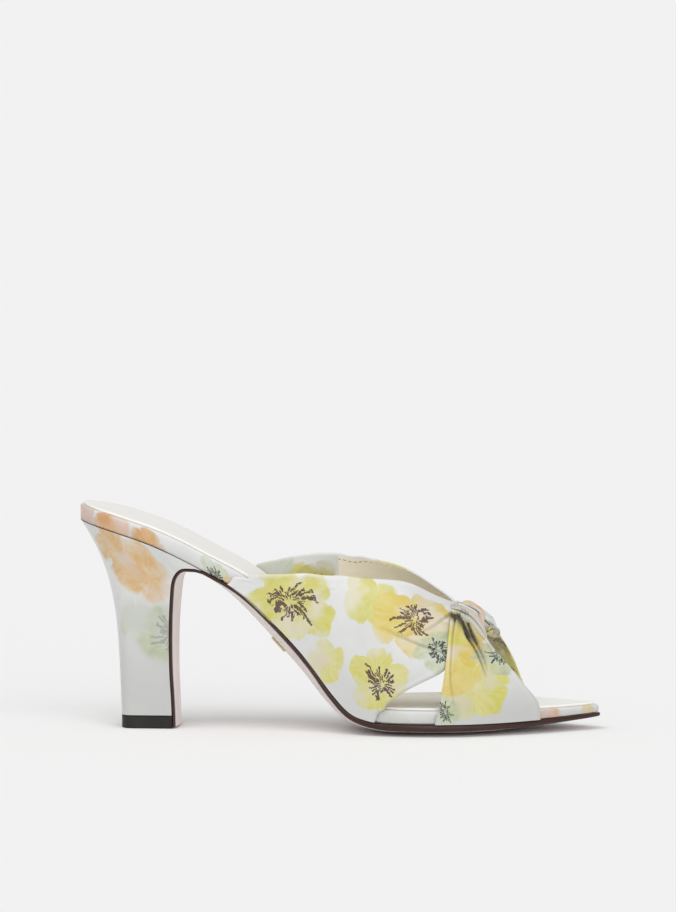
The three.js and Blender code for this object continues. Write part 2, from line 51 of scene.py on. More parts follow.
BOARD_THICKNESS = 6.6
BOARD_EDGE_ROUND = 1.4
BOARD_ROWS = 150
GAP = 0.3
NEARBY = 1e-5
WELD = 1e-6
# shares of a piece's rows that go round its seat and its toe
SEAT_ROWS = 0.16
TOE_ROWS = 0.08
OUTER = -1
INNER = 1

# along the shoe, half width and sideways shift, as shares of BALL_WIDTH
PLAN = (
    (0.0, 0.325, 0.0),
    (0.1, 0.33, 0.0),
    (0.18, 0.325, -0.005),
    (0.26, 0.31, -0.015),
    (0.34, 0.295, -0.03),
    (0.42, 0.2975, -0.0475),
    (0.5, 0.3375, -0.0575),
    (0.58, 0.41, -0.05),
    (0.65, 0.4675, -0.0275),
    (0.7, 0.485, -0.005),
    (0.75, 0.47, 0.015),
    (0.81, 0.4075, 0.0325),
    (0.87, 0.315, 0.045),
    (0.93, 0.1975, 0.0525),
    (0.97, 0.1025, 0.0575),
    (1.0, 0.0425, 0.0625),
)
# along the shoe, rise of the underside, thickness, and crown of the last, as shares
PROFILE = (
    (0.0, 1.0, 1.0, 0.5),
    (0.07, 0.956, 1.0, 0.55),
    (0.15, 0.889, 1.0, 0.61),
    (0.24, 0.781, 1.0, 0.68),
    (0.33, 0.651, 1.0, 0.785),
    (0.4, 0.487, 1.0, 0.885),
    (0.46, 0.321, 1.0, 0.965),
    (0.5, 0.19, 1.0, 1.0),
    (0.53, 0.113, 0.98, 1.005),
    (0.57, 0.072, 0.94, 0.99),
    (0.63, 0.0602, 0.9, 0.9),
    (0.69, 0.0602, 0.88, 0.735),
    (0.75, 0.0602, 0.85, 0.573),
    (0.85, 0.0635, 0.74, 0.345),
    (0.93, 0.072, 0.6, 0.19),
    (1.0, 0.082, 0.5, 0.09),
)


def mix(a, b, share):
    return a + (b - a) * share


def hold(value, low, high):
    return min(max(value, low), high)


def curve_through(rows, column):
    """Smooth curve through one column of a table, held back where it would swing past its rows."""
    places = [row[0] for row in rows]
    values = [row[column] for row in rows]
    spans = [b - a for a, b in zip(places, places[1:])]
    steps = [(b - a) / span for a, b, span in zip(values, values[1:], spans)]
    slopes = [steps[0]]
    for i in range(1, len(steps)):
        slope = (steps[i - 1] * spans[i] + steps[i] * spans[i - 1]) / (spans[i - 1] + spans[i])
        limit = 3 * min(abs(steps[i - 1]), abs(steps[i]))
        level = steps[i - 1] * steps[i] <= 0
        slopes.append(0.0 if level else math.copysign(min(abs(slope), limit), slope))
    slopes.append(steps[-1])

    def value(place):
        i = int(hold(bisect.bisect_right(places, place) - 1, 0, len(steps) - 1))
        t = hold((place - places[i]) / spans[i], 0, 1)
        pull = t * (1 - t) * ((1 - t) * slopes[i] - t * slopes[i + 1]) * spans[i]
        beyond = place - hold(place, places[0], places[-1])
        end = slopes[0] if place < places[0] else slopes[-1]
        return mix(values[i], values[i + 1], t * t * (3 - 2 * t)) + pull + beyond * end

    return value


plan_half = curve_through(PLAN, 1)
plan_shift = curve_through(PLAN, 2)
profile_rise = curve_through(PROFILE, 1)
profile_board = curve_through(PROFILE, 2)


def along_of(x):
    return (x + HEEL_SETBACK) / LENGTH


def underside(x):
    return SEAT_HEIGHT * profile_rise(along_of(x))


def slope_at(x):
    return underside(x + 0.5) - underside(x - 0.5)


def steepness(x):
    return math.hypot(1, slope_at(x))


def board_top(x):
    return underside(x) + BOARD_THICKNESS * profile_board(along_of(x)) * steepness(x)


def end_round(distance, length, power=2.0):
    left = hold(1 - distance / length, 0, 1)
    return (1 - left**power) ** (1 / power)


@functools.lru_cache(maxsize=None)
def rail(side, along, outset=0.0):
    """Point of the plan outline on one side, moved outwards square to the outline."""

    def at(share):
        reach = share * LENGTH
        ends = end_round(reach, SEAT_ROUND) * end_round(LENGTH - reach, TOE_ROUND)
        half = side * plan_half(share) * ends
        return Vector((reach - HEEL_SETBACK, BALL_WIDTH * (plan_shift(share) + half)))

    point = at(along)
    heading = (at(min(along + NEARBY, 1)) - at(max(along - NEARBY, 0))).normalized()
    return point + Vector((-heading.y, heading.x)) * side * outset


def station(share, start=0.0):
    """Place along the shoe for a share of the rows, closer together round the seat and the toe."""
    back, toe = SEAT_ROUND / LENGTH, 1 - TOE_ROUND / LENGTH
    if start == 0.0 and share < SEAT_ROWS:
        return back * (1 - math.cos(share / SEAT_ROWS * math.pi / 2))
    if share > 1 - TOE_ROWS:
        return 1 - (1 - toe) * (1 - math.cos((1 - share) / TOE_ROWS * math.pi / 2))
    first, low = (back, SEAT_ROWS) if start == 0.0 else (start, 0.0)
    return mix(first, toe, (share - low) / (1 - TOE_ROWS - low))


def loft(name, rings, finishes, finish_of=None, crease=0.6):
    """Closed surface through rings of (place, cloth) pairs in millimetres. cloth is where the point
    lies on the flat fabric, how far it is from the fabric's edge, and how much
    painted shade it gets in a crease."""
    columns, rows = len(rings[0]), len(rings) - 1
    mesh = bmesh.new()
    bmesh.ops.create_grid(mesh, x_segments=columns, y_segments=rows, size=0.5)
    for face in mesh.faces:
        middle = face.calc_center_median()
        if finish_of:
            place = (int((middle.x + 0.5) * columns), int((middle.y + 0.5) * rows))
            face.material_index = finish_of(*place)
        face.smooth = True
    cloth = mesh.verts.layers.float_vector.new("cloth")
    crease_shade = mesh.verts.layers.float.new("crease_shade")
    for point in mesh.verts:
        column = round((point.co.x + 0.5) * columns) % columns
        place, flat = rings[round((point.co.y + 0.5) * rows)][column]
        flat = (*flat, 0.0, 0.0)
        point[cloth] = Vector(flat[:3])
        point[crease_shade] = flat[3]
        point.co = place * MM
    bmesh.ops.remove_doubles(mesh, verts=mesh.verts, dist=WELD)
    bmesh.ops.holes_fill(mesh, edges=mesh.edges, sides=0)
    bmesh.ops.recalc_face_normals(mesh, faces=mesh.faces)
    data = bpy.data.meshes.new(name)
    mesh.to_mesh(data)
    mesh.free()
    data.set_sharp_from_angle(angle=crease)
    for finish in finishes:
        data.materials.append(finish)
    piece = bpy.data.objects.new(name, data)
    bpy.context.collection.objects.link(piece)
    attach(piece, "root")
    return piece


def board_rings(outset, edge_radius, top, bottom):
    """Cross-sections of a board that follows the plan outline, with rounded upper edges."""
    # inset, drop from the top, and rise as a share where the drop isn't given
    rim = [(0.5, None, 0.0), (0.0, None, 0.12), (0.0, None, 0.55)]
    rim += [
        (edge_radius * (1 - math.cos(a)), edge_radius * (1 - math.sin(a)), 1.0)
        for a in (math.radians(t) for t in (0, 20, 40, 60, 80, 90))
    ]
    rings = []
    walked = {OUTER: 0.0, INNER: 0.0}
    before = {}
    for row in range(BOARD_ROWS + 1):
        along = station(row / BOARD_ROWS)
        sides = {}
        for side in (OUTER, INNER):
            edge = rail(side, along, outset)
            walked[side] += (edge - before.get(side, edge)).length * steepness(edge.x)
            before[side] = edge
            sides[side] = []
            for inset, drop, rise in rim:
                at = rail(side, along, outset - inset)
                low, high = bottom(at.x), top(at.x)
                z = mix(low, high - edge_radius, rise) if drop is None else high - drop
                flat = (walked[side] * -side, z - low + inset)
                sides[side].append((Vector((at.x, at.y, z)), flat))
        left, right = sides[OUTER][-1], sides[INNER][-1]
        ring = list(sides[OUTER])
        for share in (0.15, 0.35, 0.5, 0.65, 0.85):
            at = left[0].lerp(right[0], share)
            ring.append((Vector((at.x, at.y, top(at.x))), (at.x, at.y)))
        ring += reversed(sides[INNER])
        left, right = sides[INNER][0][0], sides[OUTER][0][0]
        for share in (0.33, 0.67):
            at = left.lerp(right, share)
            ring.append((Vector((at.x, at.y, bottom(at.x))), (at.x, at.y)))
        rings.append(ring)
    return rings


def fill(tree, made, values):
    """Sets each value on its socket, or links it there where the value is a socket."""
    for socket, value in values.items():
        if isinstance(value, bpy.types.NodeSocket):
            tree.links.new(value, made.inputs[socket])
        else:
            made.inputs[socket].default_value = value


def node(tree, kind, values=None, **settings):
    made = tree.nodes.new(kind)
    for name, value in settings.items():
        setattr(made, name, value)
    fill(tree, made, values or {})
    return made


def new_finish(name):
    """Empty material, with its node tree and shader."""
    material = bpy.data.materials.new(name)
    material.use_nodes = True
    return material, material.node_tree, material.node_tree.nodes["Principled BSDF"]


def calc(tree, operation, *values):
    made = node(tree, "ShaderNodeMath", dict(enumerate(values)), operation=operation)
    return made.outputs[0]


def ramp(tree, value, low, high, out_low=0.0, out_high=1.0):
    values = {0: value, 1: low, 2: high, 3: out_low, 4: out_high}
    return node(tree, "ShaderNodeMapRange", values, interpolation_type="SMOOTHSTEP").outputs[0]


def blend(tree, share, first, second):
    made = node(tree, "ShaderNodeMix", {0: share, 6: first, 7: second}, data_type="RGBA")
    return made.outputs[2]


def group(name, inputs, outputs):
    """Starts a node group with named sockets and returns its tree, input and output nodes."""
    tree = bpy.data.node_groups.new(name, "ShaderNodeTree")
    for label, kind in inputs:
        tree.interface.new_socket(name=label, in_out="INPUT", socket_type="NodeSocket" + kind)
    for label in outputs:
        tree.interface.new_socket(name=label, in_out="OUTPUT", socket_type="NodeSocketFloat")
    return tree, tree.nodes.new("NodeGroupInput"), tree.nodes.new("NodeGroupOutput")


def noise(tree, place, scale, detail=2.0, seed=0.0, result="Fac"):
    values = {"Vector": place, "W": seed, "Scale": scale, "Detail": detail}
    return node(tree, "ShaderNodeTexNoise", values, noise_dimensions="4D").outputs[result]


def plain_noise(tree, place, scale, detail):
    values = {"Vector": place, "Scale": scale, "Detail": detail}
    return node(tree, "ShaderNodeTexNoise", values).outputs["Fac"]


def vector(tree, operation, **values):
    sockets = {"a": 0, "b": 1, "scale": "Scale"}
    values = {sockets[key]: value for key, value in values.items()}
    return node(tree, "ShaderNodeVectorMath", values, operation=operation).outputs[0]


def chance_of(tree, place):
    values = {"W": place}
    return node(tree, "ShaderNodeTexWhiteNoise", values, noise_dimensions="1D").outputs["Value"]


def strokes(tree, angle, reach, brush, seed, count, start, spread):
    """Ring of short radial brush strokes, each of its own length."""
    paint = functools.partial(calc, tree)
    turn = paint("MULTIPLY", angle, count / math.tau)
    turn = paint("MULTIPLY_ADD", brush, 1.1, turn)
    cell = paint("FLOORED_MODULO", paint("FLOOR", turn), count)
    off = paint("ABSOLUTE", paint("SUBTRACT", paint("FRACT", turn), 0.5))
    chance = chance_of(tree, paint("MULTIPLY_ADD", cell, 1.37, seed))
    end = paint("MULTIPLY_ADD", chance, spread, start + 0.09)
    width = paint("MULTIPLY_ADD", paint("DIVIDE", reach, end), -0.16, 0.44)
    inside = paint("LESS_THAN", off, width)
    inside = paint("MULTIPLY", inside, paint("LESS_THAN", reach, end))
    begin = paint("MULTIPLY_ADD", chance, 0.1, start)
    return paint("MULTIPLY", inside, paint("GREATER_THAN", reach, begin))


# One painted blossom, in millimetres of cloth: petals with wet, wandering edges, each washed in its
# own tone, a warmer heart, and a brushed burst of stamens.
bloom_inputs = ("Place", "Centre", "Radius", "Turn", "Petals", "Stretch", "Burst", "Soft", "Seed")
blossom, given, result = group(
    "blossom",
    [(label, "Vector" if label in ("Place", "Centre") else "Float") for label in bloom_inputs],
    ["Petal", "Depth", "Warmth", "Stamen"],
)
paint = functools.partial(calc, blossom)
place, radius, seed = (given.outputs[label] for label in ("Place", "Radius", "Seed"))
wander = noise(blossom, place, 0.09, 3.0, seed, "Color")
wander = vector(blossom, "SUBTRACT", a=wander, b=(0.5, 0.5, 0.5))
wander = vector(blossom, "SCALE", a=wander, scale=paint("MULTIPLY", radius, 0.7))
local = vector(blossom, "SUBTRACT", a=place, b=given.outputs["Centre"])
local = vector(blossom, "ADD", a=local, b=wander)
local = node(
    blossom, "ShaderNodeVectorRotate", {"Vector": local, "Angle": given.outputs["Turn"]},
    rotation_type="Z_AXIS",
).outputs[0]
parts = node(blossom, "ShaderNodeSeparateXYZ", {0: local}).outputs
side_x = paint("DIVIDE", parts[0], radius)
side_y = paint("DIVIDE", parts[1], paint("MULTIPLY", radius, given.outputs["Stretch"]))
reach = paint("MULTIPLY_ADD", side_x, side_x, paint("MULTIPLY", side_y, side_y))
reach = paint("SQRT", reach)
angle = paint("ARCTAN2", side_y, side_x)
petals = given.outputs["Petals"]
lobe = paint("COSINE", paint("MULTIPLY", paint("MULTIPLY", angle, petals), 0.5))
lobe = paint("POWER", paint("ABSOLUTE", lobe), 0.55)
number = paint("DIVIDE", paint("MULTIPLY", angle, petals), math.tau)
number = paint("FLOOR", paint("ADD", number, 0.5))
number = paint("FLOORED_MODULO", number, petals)
tone = chance_of(blossom, paint("MULTIPLY_ADD", number, 2.13, seed))
edge = paint("MULTIPLY_ADD", lobe, 0.32, 0.62)
edge = paint("ADD", edge, paint("MULTIPLY", tone, 0.1))
edge = paint("SUBTRACT", edge, reach)
petal = ramp(blossom, edge, 0.0, given.outputs["Soft"])
heading = {
    0: paint("MULTIPLY", paint("COSINE", angle), 5.0),
    1: paint("MULTIPLY", paint("SINE", angle), 5.0),
    2: paint("MULTIPLY", reach, 1.2),
}
heading = node(blossom, "ShaderNodeCombineXYZ", heading).outputs[0]
streaks = ramp(blossom, noise(blossom, heading, 1.7, 4.0, seed), 0.36, 0.66)
wash = ramp(blossom, noise(blossom, place, 0.1, 4.0, seed), 0.36, 0.64)
pool = noise(blossom, place, 0.075, 2.0, paint("ADD", seed, 5.0))
petal = paint("MULTIPLY", petal, ramp(blossom, pool, 0.62, 0.42, 0.42, 1.0))
depth = paint("MULTIPLY_ADD", wash, 0.42, paint("MULTIPLY", streaks, 0.42))
depth = paint("MULTIPLY_ADD", tone, 0.35, depth)
depth = paint("ADD", depth, ramp(blossom, edge, 0.1, 0.02, 0.0, 0.22))
warmth = paint("MULTIPLY", ramp(blossom, pool, 0.5, 0.62), ramp(blossom, reach, 0.85, 0.2))
brush = noise(blossom, place, 0.8, 2.0)
flecks = strokes(blossom, angle, reach, brush, seed, 24, 0.15, 0.34)
heart = strokes(blossom, angle, reach, brush, paint("ADD", seed, 9.0), 15, 0.03, 0.24)
stamen = paint("MAXIMUM", flecks, heart)
stamen = paint("MULTIPLY", stamen, ramp(blossom, brush, 0.33, 0.4))
stamen = paint("MULTIPLY", stamen, given.outputs["Burst"])
fill(blossom, result, {"Petal": petal, "Depth": depth, "Warmth": warmth, "Stamen": stamen})

# Satin's weave and hand: long fine floats across the cloth, and a soft unevenness in its gloss.
weave, given, result = group(
    "satin weave", [("Place", "Vector"), ("Thread", "Float")], ["Height", "Gloss"]
)
fine = vector(weave, "MULTIPLY", a=given.outputs["Place"], b=(2.2, 9.0, 1.0))
threads = plain_noise(weave, fine, given.outputs["Thread"], 2.0)
soft = plain_noise(weave, given.outputs["Place"], 0.16, 3.0)
height = calc(weave, "ADD", calc(weave, "MULTIPLY", threads, 0.12), soft)
fill(weave, result, {"Height": height, "Gloss": soft})

WHITE = (0.71, 0.71, 0.695)
PEARL = (0.64, 0.645, 0.645)
# painted shade: the tone the satin is darkened to towards the lower end of a given span of heights
PAINTED_SHADE_TONE = (0.53, 0.535, 0.525)
LINING = (0.90, 0.82, 0.65)
THREAD = (0.42, 0.36, 0.24)
# painted shade: the dark tone laid into creases, pleats and hollows of the cloth, where shade falls
CREASE_SHADE_TONE = (0.03, 0.017, 0.008)
STITCH_PITCH = 2.4
STITCH_LENGTH = 0.6
STITCH_INSET = 1.7
STITCH_HALF_WIDTH = 0.2
LINING_SEAM = 0.3
# pale wash, deep wash, warm heart and ink of each kind of blossom
YELLOW = ((0.645, 0.60, 0.265), (0.55, 0.52, 0.075), (0.68, 0.43, 0.10), (0.07, 0.025, 0.035))
GOLD = ((0.66, 0.56, 0.20), (0.60, 0.45, 0.065), (0.62, 0.33, 0.06), (0.07, 0.03, 0.03))
SAGE = ((0.58, 0.61, 0.47), (0.38, 0.43, 0.26), (0.30, 0.36, 0.18), (0.012, 0.025, 0.02))
PEACH = ((0.68, 0.56, 0.40), (0.62, 0.38, 0.14), (0.60, 0.28, 0.07), (0.30, 0.14, 0.05))
CORAL = ((0.62, 0.43, 0.27), (0.56, 0.28, 0.11), (0.54, 0.15, 0.06), (0.30, 0.14, 0.05))
AMBER = ((0.66, 0.42, 0.22), (0.52, 0.29, 0.09), (0.50, 0.20, 0.05), (0.20, 0.08, 0.03))
OLIVE = ((0.52, 0.46, 0.13), (0.40, 0.33, 0.045), (0.30, 0.18, 0.02), (0.015, 0.02, 0.01))
STONE = ((0.50, 0.49, 0.44), (0.40, 0.37, 0.29), (0.44, 0.31, 0.16), (0.012, 0.02, 0.015))


def opaque(colour):
    return (*colour, 1.0)


def printed_satin(name, blooms, painted_shade_span=None, lined_from=None):
    """White satin with blossoms painted on it. Each bloom is its centre and radius in millimetres of
    cloth, turn, petals, stretch, burst of stamens, strength of the wash, softness and colours."""
    material, tree, shader = new_finish(name)
    paint = functools.partial(calc, tree)
    cloth = node(tree, "ShaderNodeAttribute", attribute_name="cloth").outputs["Vector"]
    place = vector(tree, "MULTIPLY", a=cloth, b=(1.0, 1.0, 0.0))
    along, up, from_edge = node(tree, "ShaderNodeSeparateXYZ", {0: cloth}).outputs
    cloud = ramp(tree, noise(tree, place, 0.05), 0.35, 0.68)
    colour = blend(tree, cloud, opaque(WHITE), opaque(PEARL))
    # painted shade: the satin darkens towards the lower end of the given span of heights
    if painted_shade_span:
        colour = blend(tree, ramp(tree, up, *painted_shade_span), colour, opaque(PAINTED_SHADE_TONE))
    wet = ramp(tree, noise(tree, place, 0.035, 3.0, 4.0), 0.55, 0.75, 0.0, 0.3)
    colour = blend(tree, wet, colour, opaque(SAGE[0]))
    for number, bloom in enumerate(blooms):
        centre, radius, turn, petals, stretch, burst, strength, soft, colours = bloom
        pale, deep, warm, ink = (opaque(each) for each in colours)
        turn, seed = math.radians(turn), 3.7 * number + 0.31 * radius
        values = (place, (*centre, 0.0), radius, turn, petals, stretch, burst, soft, seed)
        values = dict(zip(bloom_inputs, values))
        flower = node(tree, "ShaderNodeGroup", values, node_tree=blossom).outputs
        petal = blend(tree, flower["Depth"], pale, deep)
        petal = blend(tree, paint("MULTIPLY", flower["Warmth"], 0.75), petal, warm)
        colour = blend(tree, paint("MULTIPLY", flower["Petal"], strength), colour, petal)
        colour = blend(tree, paint("MULTIPLY", flower["Stamen"], 0.92), colour, ink)
    if lined_from:
        inside = ramp(tree, along, lined_from - LINING_SEAM, lined_from + LINING_SEAM)
        turned_in = ramp(tree, from_edge, 0.4, 0.6)
        inside = paint("MULTIPLY", inside, turned_in)
        colour = blend(tree, inside, colour, opaque(LINING))
        stitch = paint("FRACT", paint("DIVIDE", along, STITCH_PITCH))
        stitch = paint("LESS_THAN", stitch, STITCH_LENGTH)
        row = paint("ABSOLUTE", paint("SUBTRACT", from_edge, STITCH_INSET))
        row = paint("LESS_THAN", row, STITCH_HALF_WIDTH)
        stitch = paint("MULTIPLY", paint("MULTIPLY", stitch, row), inside)
        colour = blend(tree, stitch, colour, opaque(THREAD))
    # painted shade where the cloth lies in creases, pleats and hollows
    crease_shade = node(tree, "ShaderNodeAttribute", attribute_name="crease_shade").outputs["Fac"]
    colour = blend(tree, crease_shade, colour, opaque(CREASE_SHADE_TONE))
    hand = node(tree, "ShaderNodeGroup", {"Place": place, "Thread": 1.0}, node_tree=weave).outputs
    relief = {"Height": hand["Height"], "Strength": 0.35, "Distance": 0.0004}
    look = {
        "Base Color": colour,
        "Roughness": ramp(tree, hand["Gloss"], 0.3, 0.7, 0.34, 0.46),
        "Normal": node(tree, "ShaderNodeBump", relief).outputs[0],
        "Sheen Weight": 0.2,
        "Sheen Roughness": 0.4,
    }
    fill(tree, shader, look)
    return material


rim = board_rings(0.0, BOARD_EDGE_ROUND, board_top, underside)
# columns of the rim's rings: its lower edge outside, and its rounded upper edge inside
OUTER_FOOT, INNER_SHOULDER = 0, 17


def rim_at(x, side=OUTER):
    """Place on the rim's cloth at this distance forward."""
    column = OUTER_FOOT if side == OUTER else INNER_SHOULDER
    nearest = min(rim, key=lambda ring: abs(ring[column][0].x - x))
    return nearest[column][1]


rim_satin = printed_satin(
    "rim_satin",
    [
        (rim_at(-26), 12, 20, 4, 0.9, 0, 1.0, 0.15, CORAL),
        (rim_at(-14), 12, 70, 3, 0.9, 0, 1.0, 0.2, CORAL),
        (rim_at(3), 10, 10, 4, 0.8, 0, 0.95, 0.2, AMBER),
        (rim_at(33), 10, 40, 4, 0.8, 1, 0.85, 0.12, SAGE),
        (rim_at(39), 6, 0, 3, 0.8, 0, 0.75, 0.3, PEACH),
        (rim_at(112), 9, 30, 4, 0.6, 0, 0.4, 0.3, SAGE),
        (rim_at(160), 7, 30, 4, 0.7, 0, 0.9, 0.25, PEACH),
        (rim_at(177), 9, 30, 4, 0.7, 0, 0.9, 0.3, CORAL),
        (rim_at(192), 6, 80, 3, 0.7, 0, 0.7, 0.35, GOLD),
        (rim_at(-10, INNER), 16, 0, 5, 0.7, 1, 0.9, 0.1, YELLOW),
        (rim_at(30, INNER), 12, 0, 3, 0.7, 0, 0.8, 0.1, SAGE),
        (rim_at(110, INNER), 12, 0, 5, 0.7, 0, 0.8, 0.1, YELLOW),
        (rim_at(180, INNER), 9, 0, 5, 0.7, 0, 0.8, 0.1, PEACH),
    ],
    # painted shade: the rim's satin darkens towards its lower edge
    painted_shade_span=(8, -3),
)
footbed = loft("footbed_wrap", rim, [rim_satin])
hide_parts("footbed")

# Sock lining. A thin cream leather sheet glued on the footbed, cut a little smaller than the board,
# so that a margin of the wrapped edge shows around it.
SOCK_MARGIN = 1.7
SOCK_THICKNESS = 1.0
SOCK_EDGE_ROUND = 0.5
GLUE = 0.06

grain, given, result = group("leather grain", [("Scale", "Float")], ["Height", "Tone"])
place = node(grain, "ShaderNodeTexCoord").outputs["Object"]
scale = calc(grain, "MULTIPLY", given.outputs["Scale"], 1100.0)
pores = node(grain, "ShaderNodeTexVoronoi", {"Vector": place, "Scale": scale}).outputs["Distance"]
scale = calc(grain, "MULTIPLY", given.outputs["Scale"], 60.0)
clouds = plain_noise(grain, place, scale, 4.0)
height = calc(grain, "MULTIPLY_ADD", pores, 0.5, clouds)
fill(grain, result, {"Height": height, "Tone": clouds})


def leather(name, pale, deep, gloss, scale=1.0, relief=0.25):
    """Smooth leather whose tone and gloss drift a little over the hide."""
    material, tree, shader = new_finish(name)
    hide = node(tree, "ShaderNodeGroup", {"Scale": scale}, node_tree=grain).outputs
    tone = ramp(tree, hide["Tone"], 0.3, 0.7)
    pores = {"Height": hide["Height"], "Strength": relief, "Distance": 0.00015}
    look = {
        "Base Color": blend(tree, tone, opaque(pale), opaque(deep)),
        "Roughness": ramp(tree, hide["Tone"], 0.3, 0.7, gloss - 0.05, gloss + 0.06),
        "Normal": node(tree, "ShaderNodeBump", pores).outputs[0],
    }
    fill(tree, shader, look)
    return material


def sock_bottom(x):
    return board_top(x) + GLUE * steepness(x)


def sock_top(x):
    return sock_bottom(x) + SOCK_THICKNESS * steepness(x)


sock = loft(
    "sock_lining",
    board_rings(-SOCK_MARGIN, SOCK_EDGE_ROUND, sock_top, sock_bottom),
    [leather("sock_leather", (0.90, 0.885, 0.85), (0.87, 0.85, 0.81), 0.5)],
)
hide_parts("sock")

# Outsole. One piece of leather from the toe along the forepart and the arched waist, and on down the
# breast of the heel as a flap. Its edge is trimmed thin, stained dark and polished.
OUTSOLE_THICKNESS = 3.0
SOLE_BELLY = 5.6
SOLE_OVERHANG = 1.6
FLAP_CLEARANCE = 0.8
TREAD_LENGTH = 22.9
BREAST_JOINT = 0.25
BREAST_EDGE = 0.4
BREAST_BELLY = 0.15

# along the shoe, edge thickness, belly and overhang, as shares
OUTSOLE = (
    (0.25, 0.42, 0.25, 0.0),
    (0.33, 0.47, 0.8, 0.5),
    (0.42, 0.5, 1.0, 0.8),
    (0.5, 0.6, 0.85, 0.95),
    (0.57, 0.8, 0.6, 1.0),
    (0.65, 0.93, 0.57, 1.0),
    (0.75, 0.93, 0.57, 1.0),
    (0.85, 0.8, 0.3, 0.9),
    (0.93, 0.67, 0.1, 0.6),
    (1.0, 0.55, 0.015, 0.3),
)
# distance forward and rise at each step up the breast, as shares of the way to the waist joint
BREAST = (
    (0.0, 0.0),
    (-0.023, 0.17),
    (-0.062, 0.343),
    (-0.072, 0.515),
    (-0.056, 0.672),
    (-0.016, 0.815),
    (0.05, 0.93),
    (0.2, 0.991),
    (0.43, 1.016),
    (0.71, 1.015),
    (1.0, 1.0),
)
outsole_edge = curve_through(OUTSOLE, 1)
outsole_belly = curve_through(OUTSOLE, 2)
outsole_reach = curve_through(OUTSOLE, 3)
breast_rows = [(step, *row) for step, row in enumerate(BREAST)]
breast_forward = curve_through(breast_rows, 1)
breast_rise = curve_through(breast_rows, 2)


def outsole_top(x):
    return underside(x) - GAP * steepness(x)


def breast_point(step):
    joint = BREAST_JOINT * LENGTH - HEEL_SETBACK
    x = mix(TREAD_LENGTH / 2 + GAP, joint, breast_forward(step))
    return Vector((x, mix(FLAP_CLEARANCE, outsole_top(joint), breast_rise(step))))


def breast_facing(step):
    run = (breast_point(step + 0.05) - breast_point(step - 0.05)).normalized()
    return Vector((run.y, -run.x))


# the heel's width at each height, which the flap follows
TREAD_WIDTH = 26.0
TOP_PIECE_HEIGHT = 5.5
SIDE_TAPER, SIDE_CURVE = 0.45, 4


def eased(rise, taper, power):
    return taper * rise + (1 - taper) * rise**power


def heel_rise(x, z):
    base = TOP_PIECE_HEIGHT + GAP
    return hold((z - base) / (underside(x) - base), 0, 1)


def heel_half(x, rise):
    seat = BALL_WIDTH * plan_half(along_of(x))
    return mix(TREAD_WIDTH / 2, seat, eased(rise, SIDE_TAPER, SIDE_CURVE))


def heel_middle(x, rise):
    return BALL_WIDTH * plan_shift(along_of(x)) * rise


def belly_at(across):
    return 1 - min(abs(across), 1) ** 2


def sole_point(along, across, deep, out=0.0, below=0.0):
    outset = SOLE_OVERHANG * outsole_reach(along) + out
    left, right = rail(OUTER, along, outset), rail(INNER, along, outset)
    flat = left.lerp(right, (across + 1) / 2)
    full = OUTSOLE_THICKNESS * outsole_edge(along)
    full += SOLE_BELLY * outsole_belly(along) * belly_at(across)
    facing = Vector((slope_at(flat.x), 0, -1)).normalized()
    point = Vector((flat.x, flat.y, outsole_top(flat.x))) + facing * (deep * full + below)
    return Vector((point.x, point.y, max(point.z, 0.0)))


def flap_point(step, across, deep, out=0.0):
    inner, facing = breast_point(step), breast_facing(step)
    rise = heel_rise(inner.x, inner.y)
    full = OUTSOLE_THICKNESS * BREAST_EDGE + SOLE_BELLY * BREAST_BELLY * belly_at(across)
    y = heel_middle(inner.x, rise) + across * (heel_half(inner.x, rise) + out)
    return Vector((inner.x + facing.x * full * deep, y, inner.y + facing.y * full * deep))


# across, depth and outset in millimetres round the trimmed edge
edge_round = [
    (1.0, 1.0, -0.7), (1.0, 0.93, -0.25), (1.0, 0.78, 0.0), (1.0, 0.5, 0.1), (1.0, 0.22, 0.05),
    (1.0, 0.06, -0.15), (1.0, 0.0, -0.45),
]
bottom_places = [-0.96, -0.88, -0.72, -0.5, -0.26, 0.0, 0.26, 0.5, 0.72, 0.88, 0.96]
section = [(across, 1.0, -0.9) for across in bottom_places]
section += edge_round
section += [(across, 0.0, -0.6) for across in (0.9, 0.4, -0.4, -0.9)]
section += [(-across, deep, out) for across, deep, out in reversed(edge_round)]
BREAST_ROWS, SOLE_ROWS = 44, 120
outsole_rings = []
for row in range(BREAST_ROWS):
    step = (len(BREAST) - 1) * row / BREAST_ROWS
    outsole_rings.append([(flap_point(step, *at), (0, 0)) for at in section])
for row in range(SOLE_ROWS + 1):
    along = station(row / SOLE_ROWS, BREAST_JOINT)
    outsole_rings.append([(sole_point(along, *at), (0, 0)) for at in section])
first_side = len(bottom_places)
last_side = len(section) - len(edge_round)


def outsole_finish(column, row):
    polished = first_side <= column < first_side + len(edge_round) or column >= last_side - 1
    return 1 if polished else 0


outsole = loft(
    "outsole_leather",
    outsole_rings,
    [
        leather("sole_leather", (0.86, 0.775, 0.745), (0.80, 0.71, 0.68), 0.45),
        leather("sole_edge", (0.044, 0.008, 0.003), (0.028, 0.005, 0.002), 0.34, 2.0, 0.1),
    ],
    outsole_finish,
)
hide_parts("outsole")

# Sole plate. A small plain plate cut from thin gilt sheet metal, bent to the belly of the waist and
# pressed on there.
PLATE_ALONG = 0.409
PLATE_LENGTH = 8.5
PLATE_WIDTH = 16.0
PLATE_THICKNESS = 0.5
PLATE_ROWS, PLATE_STEPS = 8, 12

